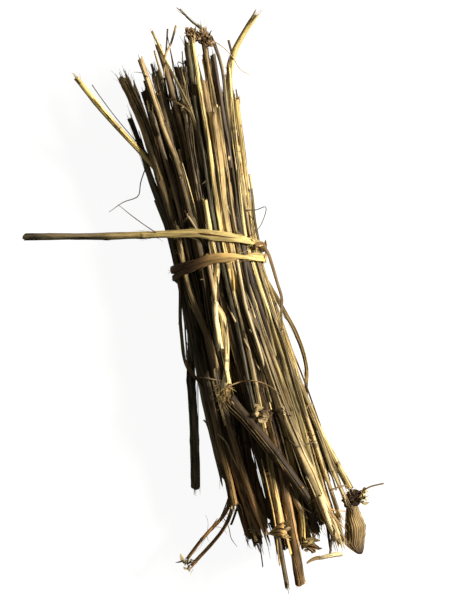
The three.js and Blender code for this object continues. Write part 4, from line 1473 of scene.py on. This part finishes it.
class SMUDGE_OT_tie(bpy.types.Operator):
    """Winds the tie: a free stalk that splits into two flat strands round the waist"""

    bl_idname = "smudge.tie"
    bl_label = "Wind the tie"

    def execute(self, context):
        rng = np.random.default_rng(context.scene.smudge_stalks.seed + 1)
        rings = band_rings()
        skin = Skin()
        free = rings[:FREE_STALK_RINGS + 1, :4].copy()
        free[-len(FREE_STALK_TAPER):, 3] *= FREE_STALK_TAPER

        def tint(rows):
            return tie_tint(np.interp(rows[..., 0], free[:, 0], np.arange(len(free))))

        add_stalk(skin, free, TIE_SHAPE, tint, rng)
        split = smooth_path(rings[STRANDS_START:-1], STRAND_STEP)
        for hand in (1, -1):
            add_strand(skin, split, hand, rng)
        self.slit(skin, split)
        self.fray(skin, split, rng)
        skin.piece("tie", slot_material("binding"), "binding", "binding")
        return {"FINISHED"}

    def slit(self, skin, path):
        """Painted shade: a dark tube in the slit that shows where the stalk splits."""
        path = path[(path[:, 5] > SLIT_RINGS[0]) & (path[:, 5] < SLIT_RINGS[1])]
        up = unit(outward(path[:, :3]))
        half = SLIT_HALF * np.sin(np.linspace(0.1, math.pi - 0.1, len(path)))
        line = np.column_stack([path[:, :3] + up * path[:, 4:5] * 0.97, half])
        skin.add_tube(line, 6, SLIT_SHADE_TINT, 0.5, up)

    def fray(self, skin, path, rng):
        """Loose fibres along the strands' edges."""
        forward, side, up = axes_along(path[:, :3], outward(path[:, :3]))
        for _ in range(TIE_FIBRES):
            k = rng.integers(4, len(path) - 4)
            hand = rng.choice((-1, 1))
            start = path[k, :3] + side[k] * hand * path[k, 3] * 0.9 + up[k] * path[k, 4] * 0.3
            heading = forward[k] * rng.choice((-1, 1)) + side[k] * hand * 0.2 + up[k] * rng.uniform(0, 0.25)
            tint = tie_tint(path[k, 5]) * rng.uniform(0.6, 1.1)
            thin = rng.uniform(0.06, 0.13) * MM
            add_fibre(skin, start, heading, rng.uniform(2, 7) * MM, thin, tint, rng, 0.4)


class SMUDGE_OT_leaf(bpy.types.Operator):
    """Shapes the dry leaf at the butts, its stalk and the torn tissue at its base"""

    bl_idname = "smudge.leaf"
    bl_label = "Shape the leaf"

    def execute(self, context):
        rng = np.random.default_rng(context.scene.smudge_stalks.seed + 2)
        skin = Skin()
        add_leaf(skin, rng)
        skin.add_tube(leaf_stalk_line(), 8, np.array(BROWN_TWIG))
        for scraps in LEAF_TISSUE:
            self.tissue(skin, *scraps, rng)
        skin.piece("dry_leaf_blade", slot_material("leaf"), "leaf", "dry_leaf")
        return {"FINISHED"}

    def tissue(self, skin, count, columns, rows, lengths, halves, tint, curl, rng):
        """Torn and crumpled tissue over some of the photograph's columns and rows."""
        base_z = leaf_rings()[0][2]
        for _ in range(count):
            x, y = on_photo(rng.uniform(*columns), rng.uniform(*rows))
            start = (x, y, base_z + rng.uniform(-1.2, 0.5) * MM)
            heading = np.array([1.0, rng.normal(-0.3, 0.5), rng.normal(0, 0.25)])
            add_blade(skin, start, heading, rng.normal(0, 1, 3), rng.uniform(*lengths) * MM,
                      rng.uniform(*halves) * MM, rng.uniform(-curl, curl),
                      np.array(tint) * rng.uniform(0.6, 1.3))


class SMUDGE_OT_seeds(bpy.types.Operator):
    """Makes the crumpled seed head and the bell-shaped bud"""

    bl_idname = "smudge.seeds"
    bl_label = "Make the seed head and the bud"

    def execute(self, context):
        rng = np.random.default_rng(context.scene.smudge_stalks.seed + 3)
        self.seed_head(rng)
        self.bud(rng)
        return {"FINISHED"}

    def seed_head(self, rng):
        """A crumpled rosette: broad dry petals that close over its middle and lie open round its edge."""
        skin = Skin()
        low, high = (np.array(corner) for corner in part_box("seed_head"))
        centre = (low + high) / 2
        reach = (high - low) / 2
        heights = np.linspace(-1, 1, 9)
        girths = 0.6 * reach[0] * np.sqrt(1 - heights**2) + 0.05 * MM
        core = np.column_stack([np.tile(centre, (len(heights), 1)), girths])
        core[:, 2] += (heights * 0.6 - 0.4) * reach[2]
        skin.add_tube(core, 14, SEED_CORE, up=(0, 1, 0), finish=(0.8, 0.6, 0, 0.4))
        dark, pale = np.array(SEED_SHADED_PETAL), np.array(SEED_LIT_PETAL)
        for k in range(SEED_PETALS):
            share = k / (SEED_PETALS - 1)
            turn = PETAL_TURN * k + rng.uniform(-0.9, 0.9)
            out = np.array([math.cos(turn), math.sin(turn), 0])
            lean = -0.5 + 1.4 * share + rng.normal(0, 0.4)
            drawn = out * (0.25 + 0.3 * share) - UP * (0.1 + 0.35 * share) + rng.normal(0, 0.14, 3)
            heading = out * lean + UP * (0.9 - 0.5 * share)
            # Painted light: petals turned to the key light are painted paler, the outer ones less so.
            painted_facing_light = 0.5 - 0.45 * out[0] - 0.3 * out[1] + rng.normal(0, 0.35)
            tint = dark + np.clip(painted_facing_light, 0, 1) * (1 - 0.5 * share) * (pale - dark)
            length = reach[0] * rng.uniform(0.42, 0.75)
            half = rng.uniform(0.6, 1.6) * MM
            add_blade(skin, centre + drawn * reach, heading, out, length, half, rng.uniform(-2.0, 1.6), tint,
                      0.16, 7, 10)
        skin.piece("seed_head_bracts", slot_material("seed"), "seed", "seed_head")

    def bud(self, rng):
        """A ribbed bell on a thin stalk, open at its mouth, with dry bracts round it."""
        skin = Skin()
        low, high = (np.array(corner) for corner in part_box("bud"))
        middle = (low + high) / 2
        wide = (high[1] - low[1]) / 2
        share, girth = np.array(BUD_PROFILE).T
        line = np.tile([0.0, middle[1], middle[2], 0.0], (len(share), 1))
        line[:, 0] = high[0] + (low[0] - high[0]) * share
        line[:, 3] = girth * wide
        tint = np.array(BUD_TINT)
        add_stalk(skin, line, BUD_SHAPE, tint, rng)
        for k in range(BUD_BRACTS):
            turn = 2 * math.pi * (k + rng.uniform(-0.3, 0.3)) / BUD_BRACTS
            out = np.array([0, math.cos(turn), math.sin(turn)])
            back = rng.uniform(0.1, 0.6)
            start = np.array([high[0] + (low[0] - high[0]) * back, middle[1], middle[2]])
            start = start + out * wide * np.interp(back, share, girth) * 0.9
            heading = np.array([1.0, 0, 0]) + 0.25 * out
            add_blade(skin, start, heading, out, rng.uniform(2.2, 3.6) * MM, rng.uniform(0.5, 0.85) * MM,
                      rng.uniform(-0.5, 0.9), tint * rng.uniform(0.5, 1.3))
        skin.piece("bud_bell", slot_material("seed"), "seed", "bud")


class SMUDGE_OT_bark(bpy.types.Operator):
    """Peels strips of bark along the stalks"""

    bl_idname = "smudge.bark"
    bl_label = "Peel the bark"

    def execute(self, context):
        look = context.scene.smudge_litter
        rng = np.random.default_rng(look.seed)
        skins = {slot: Skin() for slot in STALK_SHAPES}
        for _ in range(look.bark_strips):
            node = STALKS[rng.integers(len(STALKS))]
            self.strip(skins[SLOTS[node]], node, rng)
        for slot, skin in skins.items():
            skin.piece(f"bark_strips_{slot.removeprefix('stalk_')}", slot_material(slot), slot)
        return {"FINISHED"}

    def strip(self, skin, node, rng):
        """One strip that hugs its stalk and lifts off at an end."""
        path = smooth_path(LINES[node], 2 * MM)
        is_long = rng.uniform() < LONG_STRIPS
        count = rng.integers(12, 40) if is_long else rng.integers(4, 9)
        if len(path) < count + 8:
            return
        first = rng.integers(2, len(path) - count - 2)
        path = path[first:first + count]
        _, side, up = axes_along(path[:, :3], UP)
        share = np.linspace(0, 1, count)
        angle = rng.uniform(0, math.pi) + share * rng.normal(0, 0.35)
        out = np.cos(angle)[:, None] * side + np.sin(angle)[:, None] * up
        lift = rng.uniform(0.2, 1.3) * MM * np.clip((share - rng.uniform(0.5, 0.95)) * 3, 0, 1) ** 2
        if rng.uniform() < 0.5:
            lift = lift[::-1]
        centres = path[:, :3] + out * (path[:, 3:4] * 0.97 + lift[:, None])
        widest = (0.12 + 0.4 * rng.uniform() ** 2) * MM
        half = widest * np.interp(share, (0, 0.15, 0.8, 1), (0.3, 1, 0.9, 0.25))
        tint = stalk_colour(node) * rng.uniform(0.15, 1.6)
        finish = (rng.uniform(0, 0.6), 0, 0, rng.uniform(0.3, 0.7))
        # The strip's colour gets the same painted light and shade as the stalks.
        skin.add_tube(np.column_stack([centres, half]), 5, painted_light_and_shade(centres, tint)[:1], 0.5, out, finish)


class SMUDGE_OT_frays(bpy.types.Operator):
    """Frays the stalks' ends into splinters and fibres"""

    bl_idname = "smudge.frays"
    bl_label = "Fray the ends"

    def execute(self, context):
        rng = np.random.default_rng(context.scene.smudge_litter.seed + 1)
        skin = Skin()
        for node in STALKS:
            for end in ("tip", "butt"):
                plain = (rng.integers(3, 8), rng.integers(0, 3), PLAIN_FRAY_REACH)
                self.fray(skin, node, end, *FRAYS.get((node, end), plain), rng)
        self.crumble_head(skin, rng)
        self.flare_foot(skin, rng)
        skin.piece("end_fibres", slot_material("stalk_straw"), "stalk_straw")
        return {"FINISHED"}

    def fray(self, skin, node, end, splinters, fibres, reach, rng):
        """Splinters and fibres that run on past one end of a stalk."""
        line = smooth_path(LINES[node], 2 * MM)
        forward, side, up = axes_along(line[:, :3], UP)
        k, leaving = (2, -forward[2]) if end == "tip" else (-3, forward[-3])
        wood = 0.6 * stalk_colour(node) + 0.4 * np.array(SPLINTER_TINT)
        for number in range(splinters + fibres):
            angle = rng.uniform(0, 2 * math.pi)
            out = math.cos(angle) * side[k] + math.sin(angle) * up[k]
            start = line[k, :3] + out * line[k, 3] * rng.uniform(0.6, 0.95)
            tint = wood * rng.uniform(0.4, 1.25)
            length = FRAY_COVERED + reach * rng.uniform(-0.2, 1)
            if number < splinters:
                heading = leaving + out * rng.normal(0.04, 0.1)
                add_splinter(skin, start, heading, out, length, rng.uniform(0.2, 0.55) * MM, tint, rng)
            else:
                heading = leaving + out * rng.normal(0.15, 0.3)
                add_fibre(skin, start, heading, length * 1.3, rng.uniform(*FIBRE_HALVES) * MM, tint, rng, 0.7)

    def crumble_head(self, skin, rng):
        """The crumbled, matted head that some of the tips share."""
        level = np.mean([LINES[node][0, 2] for node in HEAD_TIPS])
        for number in range(HEAD_CRUMBS):
            column = rng.uniform(*HEAD_COLUMNS)
            row = rng.uniform(*HEAD_ROWS) + HEAD_SLOPE * (column - HEAD_COLUMNS[0])
            start = np.array([*on_photo(column, row), level + rng.normal(0, 1.1) * MM])
            tint = np.array(HEAD_TINT) * rng.uniform(0.2, 1.6)
            heading = rng.normal(0, 1, 3) + (0, -0.5, 0)
            if number % 3:
                add_blade(skin, start, heading, rng.normal(0, 1, 3), rng.uniform(1.0, 2.4) * MM,
                          rng.uniform(0.25, 0.7) * MM, rng.uniform(-2, 2), tint, 0.35, 4, 6)
            else:
                length = rng.uniform(1.5, 3.5) * MM
                add_fibre(skin, start, heading, length, rng.uniform(*FIBRE_HALVES) * MM, tint, rng, 1.5)

    def flare_foot(self, skin, rng):
        """The torn foot that a bright butt flares into, pale above and crumbled brown below."""
        butt = LINES["frayed_tip_stalk"][-1, :3]
        for number in range(FOOT_PALE_BLADES + FOOT_BROWN_BLADES):
            pale = number < FOOT_PALE_BLADES
            tint = np.array(FOOT_PALE if pale else FOOT_BROWN) * rng.uniform(0.6, 1.15)
            spot = np.array([rng.uniform(-0.5, 2.5), rng.uniform(-1.5, 1.5) - (0 if pale else 2), 0.0])
            start = butt + spot * MM + UP * rng.uniform(-1.2, 1.2) * MM
            heading = np.array([1.0, rng.normal(-0.35, 0.25), rng.normal(0, 0.2)])
            add_blade(skin, start, heading, rng.normal(0, 1, 3), rng.uniform(2.5, 6) * MM,
                      rng.uniform(0.4, 1.2) * MM, rng.uniform(-1.2, 1.2), tint, 0.3)


class SMUDGE_OT_litter(bpy.types.Operator):
    """Lays the tendrils, twigs, root fibres and leaf bits that cling to the bundle"""

    bl_idname = "smudge.litter"
    bl_label = "Lay the litter"

    def execute(self, context):
        look = context.scene.smudge_litter
        rng = np.random.default_rng(look.seed + 2)
        tree = solids_tree()
        self.tendrils(tree, rng)
        self.root_fibres(tree, look, rng)
        self.leaf_bits(tree, look, rng)
        return {"FINISHED"}

    def tendrils(self, tree, rng):
        """The hairs and twigs that stand clear of the bundle, one by one."""
        skin = Skin()
        for radius, flat, tint, route in TENDRILS:
            line = draped(route, tree, radius * MM)
            line[:, 3] *= np.interp(np.linspace(0, 1, len(line)), (0, 0.7, 1), (1, 0.85, 0.45))
            skin.add_tube(line, 7, tint, flat)
        self.tear_butts(skin, tree, rng)
        self.hang_chip(skin, tree, rng)
        self.join_strips(skin, rng)
        skin.piece("tendrils", slot_material("stalk_brown"), "stalk_brown")

    def tear_butts(self, skin, tree, rng):
        """Broad butts that are torn open, with long slivers along them."""
        for half, tint, route in TORN_BUTTS:
            line = draped(route, tree, half * MM)
            add_stalk(skin, line, TORN_SHAPE, np.array(tint), rng)
            forward, side, up = axes_along(line[:, :3], UP)
            for _ in range(TORN_SLIVERS):
                k = rng.integers(len(line) // 3, len(line) - 4)
                out = side[k] * rng.uniform(-1, 1) + up[k] * rng.uniform(0.2, 1)
                start = line[k, :3] + out * half * MM * 0.85
                heading = forward[k] + side[k] * rng.normal(0, 0.06)
                length = min(rng.uniform(7, 15) * MM, travelled(line[k:])[-1] + 2 * MM)
                add_splinter(skin, start, heading, unit(out), length, rng.uniform(0.3, 0.9) * MM,
                             np.array(tint) * rng.uniform(0.6, 1.3), rng)

    def hang_chip(self, skin, tree, rng):
        """A chip of wood that a dark twig holds past the butts."""
        twig = draped(CHIP_TWIG, tree, CHIP_TWIG_HALF)
        skin.add_tube(twig, 7, DARK_TWIG)
        for tint, route in CHIP_HALVES:
            line = [(*on_photo(u, v), twig[-1, 2], half * MM) for u, v, half in route]
            add_stalk(skin, line, CHIP_SHAPE, np.array(tint), rng)

    def join_strips(self, skin, rng):
        """The torn lump at the split strips' ends, and the fibres that still cross between them."""
        outer, inner = (smooth_path(LINES[f"split_strip_{side}"], 2 * MM) for side in ("outer", "inner"))
        middle = (outer[-1, :3] + inner[-1, :3]) / 2
        for _ in range(LUMP_SCRAPS):
            start = middle + rng.normal(0, 1, 3) * (1.0, 1.3, 0.5) * MM
            tint = np.array(TORN_WOOD) * rng.uniform(0.4, 1.1)
            add_blade(skin, start, rng.normal(0, 1, 3), rng.normal(0, 1, 3), rng.uniform(1.5, 3.5) * MM,
                      rng.uniform(0.3, 0.8) * MM, rng.uniform(-1.5, 1.5), tint, 0.3)
        for _ in range(CROSSING_FIBRES):
            k = rng.integers(4, len(inner) - 2)
            start = inner[k, :3]
            nearest = outer[np.argmin(np.abs(outer[:, 1] - start[1] - rng.uniform(-8, 4) * MM)), :3]
            across = nearest - start
            add_fibre(skin, start, across, np.linalg.norm(across) * 1.25, rng.uniform(0.07, 0.14) * MM,
                      np.array(BROWN_TWIG) * rng.uniform(0.6, 1.6), rng, 0.9, 7)

    def root_fibres(self, tree, look, rng):
        """The matted tuft of roots at the crown, combed towards the butts."""
        skin = Skin()
        for _ in range(look.root_fibres):
            u = CROWN_PIXEL[0] + rng.normal(-1.5, 3)
            v = CROWN_PIXEL[1] + rng.normal(2, 6)
            x, y = on_photo(u, v)
            ground = height(tree, x, y)
            if ground is None:
                continue
            heading = np.array([rng.normal(-0.05, 0.5), rng.normal(-1, 0.4), rng.normal(0.04, 0.2)])
            tint = np.array(ROOT_FIBRE_TINT) * rng.uniform(0.25, 1.6)
            add_fibre(skin, (x, y, ground + rng.uniform(-0.4, 0.3) * MM), heading, rng.uniform(1.8, 4.8) * MM,
                      rng.uniform(*FIBRE_HALVES) * MM, tint, rng, 1.2, 6)
        skin.piece("root_fibres", slot_material("stalk_brown"), "stalk_brown")

    def leaf_bits(self, tree, look, rng):
        """Curled scraps of leaf, at the spots that show them and here and there on top."""
        skin = Skin()
        spots = list(LEAF_BIT_PIXELS)
        for _ in range(look.leaf_bits):
            line = LINES[STALKS[rng.integers(len(STALKS))]]
            spots.append(line[rng.integers(1, len(line) - 1)])
        for spot in spots:
            x, y = on_photo(*spot) if len(spot) == 2 else spot[:2]
            for _ in range(rng.integers(2, 5)):
                px, py = x + rng.normal(0, 0.8) * MM, y + rng.normal(0, 0.8) * MM
                ground = height(tree, px, py)
                if ground is None:
                    continue
                heading = rng.normal(0, 1, 3) * (1, 1, 0.35) + (0, 0, 0.3)
                tint = np.array(LEAF_BIT_TINT) * rng.uniform(0.3, 1.25)
                add_blade(skin, (px, py, ground - 0.1 * MM), heading, rng.normal(0, 1, 3),
                          rng.uniform(1.0, 2.6) * MM, rng.uniform(0.25, 0.6) * MM,
                          rng.uniform(-2.6, 2.6), tint)
        skin.piece("leaf_bits", slot_material("leaf"), "leaf")


class SMUDGE_OT_stage(bpy.types.Operator):
    """Sets the floor, the lights and the camera"""

    bl_idname = "smudge.stage"
    bl_label = "Set the stage"

    def execute(self, context):
        look = context.scene.smudge_stage
        self.lay_floor(look)
        self.light(context.scene, look)
        self.place_camera(context.scene, look)
        context.scene.view_settings.view_transform = "Standard"
        return {"FINISHED"}

    def lay_floor(self, look):
        """A plain pale floor that glows enough to soften the shadows."""
        paint = Paint("floor")
        shader = paint.node("ShaderNodeBsdfPrincipled", {}, {
            "Base Color": rgba(look.floor), "Roughness": 0.9, "Specular IOR Level": 0.1,
            "Emission Color": (1.0, 1.0, 1.0, 1.0), "Emission Strength": look.floor_glow,
        })
        paint.node("ShaderNodeOutputMaterial", {}, {"Surface": shader})
        plane = bmesh.new()
        bmesh.ops.create_grid(plane, x_segments=1, y_segments=1, size=FLOOR_HALF)
        mesh = bpy.data.meshes.new("floor")
        plane.to_mesh(mesh)
        plane.free()
        mesh.materials.append(paint.material)
        floor = bpy.data.objects.new("floor", mesh)
        floor.visible_diffuse = False
        floor.visible_glossy = False
        bpy.context.scene.collection.objects.link(floor)

    def light(self, scene, look):
        """One warm key light and an even fill from all round."""
        centre = Vector((*on_photo(*MIDDLE_PIXEL), WAIST_Z))
        beside = [pixel + offset for pixel, offset in zip(MIDDLE_PIXEL, KEY_BEARING)]
        bearing = Vector((*on_photo(*beside), WAIST_Z)) - centre
        towards = bearing.normalized() * math.cos(look.key_rise) + Vector((0, 0, math.sin(look.key_rise)))
        lamp = bpy.data.lights.new("key", "AREA")
        lamp.energy = look.key
        lamp.color = look.key_colour
        lamp.size = KEY_SIZE
        key = bpy.data.objects.new("key", lamp)
        key.location = centre + towards * KEY_DISTANCE
        key.rotation_mode = "QUATERNION"
        key.rotation_quaternion = (-towards).to_track_quat("-Z", "Y")
        scene.collection.objects.link(key)
        world = bpy.data.worlds.new("studio")
        world.use_nodes = True
        world.node_tree.nodes["Background"].inputs["Color"].default_value = (1.0, 0.98, 0.94, 1.0)
        world.node_tree.nodes["Background"].inputs["Strength"].default_value = look.fill
        scene.world = world

    def place_camera(self, scene, look):
        """The camera over the bundle, turned so that the bundle leans as in the photograph."""
        lens = bpy.data.cameras.new("camera")
        lens.lens = look.lens
        lens.sensor_fit = "VERTICAL"
        lens.sensor_height = SENSOR_HEIGHT
        camera = bpy.data.objects.new("camera", lens)
        distance = IMAGE_HEIGHT * PIXEL * look.lens / SENSOR_HEIGHT
        camera.location = (*on_photo(*MIDDLE_PIXEL), WAIST_Z + distance)
        camera.rotation_euler = (0.0, 0.0, -LEAN)
        scene.collection.objects.link(camera)
        scene.camera = camera


# The panel and the run

class SMUDGE_PT_panel(bpy.types.Panel):
    """Lists the steps that dress the bundle, and their sizes and colours"""

    bl_idname = "SMUDGE_PT_panel"
    bl_label = "Smudge stick"
    bl_space_type = "VIEW_3D"
    bl_region_type = "UI"
    bl_category = "Smudge stick"

    def draw(self, context):
        for group in PROPERTY_GROUPS:
            look = getattr(context.scene, group)
            box = self.layout.box()
            box.label(text=look.bl_rna.description)
            for name in look.__annotations__:
                box.prop(look, name)
        for operator in OPERATORS:
            self.layout.operator(operator.bl_idname)


PROPERTY_GROUPS = {
    "smudge_stalks": StalkLook,
    "smudge_thin_stems": ThinStemLook,
    "smudge_litter": LitterLook,
    "smudge_stage": StageLook,
}
OPERATORS = (
    SMUDGE_OT_stalks, SMUDGE_OT_thin_stems, SMUDGE_OT_tie, SMUDGE_OT_leaf, SMUDGE_OT_seeds, SMUDGE_OT_bark,
    SMUDGE_OT_frays, SMUDGE_OT_litter, SMUDGE_OT_stage,
)


def register():
    for name, group in PROPERTY_GROUPS.items():
        bpy.utils.register_class(group)
        setattr(bpy.types.Scene, name, PointerProperty(type=group))
    for operator in OPERATORS:
        bpy.utils.register_class(operator)
    bpy.utils.register_class(SMUDGE_PT_panel)


def unregister():
    bpy.utils.unregister_class(SMUDGE_PT_panel)
    for operator in reversed(OPERATORS):
        bpy.utils.unregister_class(operator)
    for name, group in PROPERTY_GROUPS.items():
        delattr(bpy.types.Scene, name)
        bpy.utils.unregister_class(group)


def main():
    register()
    bpy.ops.smudge.stalks()
    bpy.ops.smudge.thin_stems()
    bpy.ops.smudge.tie()
    bpy.ops.smudge.leaf()
    bpy.ops.smudge.seeds()
    bpy.ops.smudge.bark()
    bpy.ops.smudge.frays()
    bpy.ops.smudge.litter()
    bpy.ops.smudge.stage()


if __name__ == "__main__":
    main()
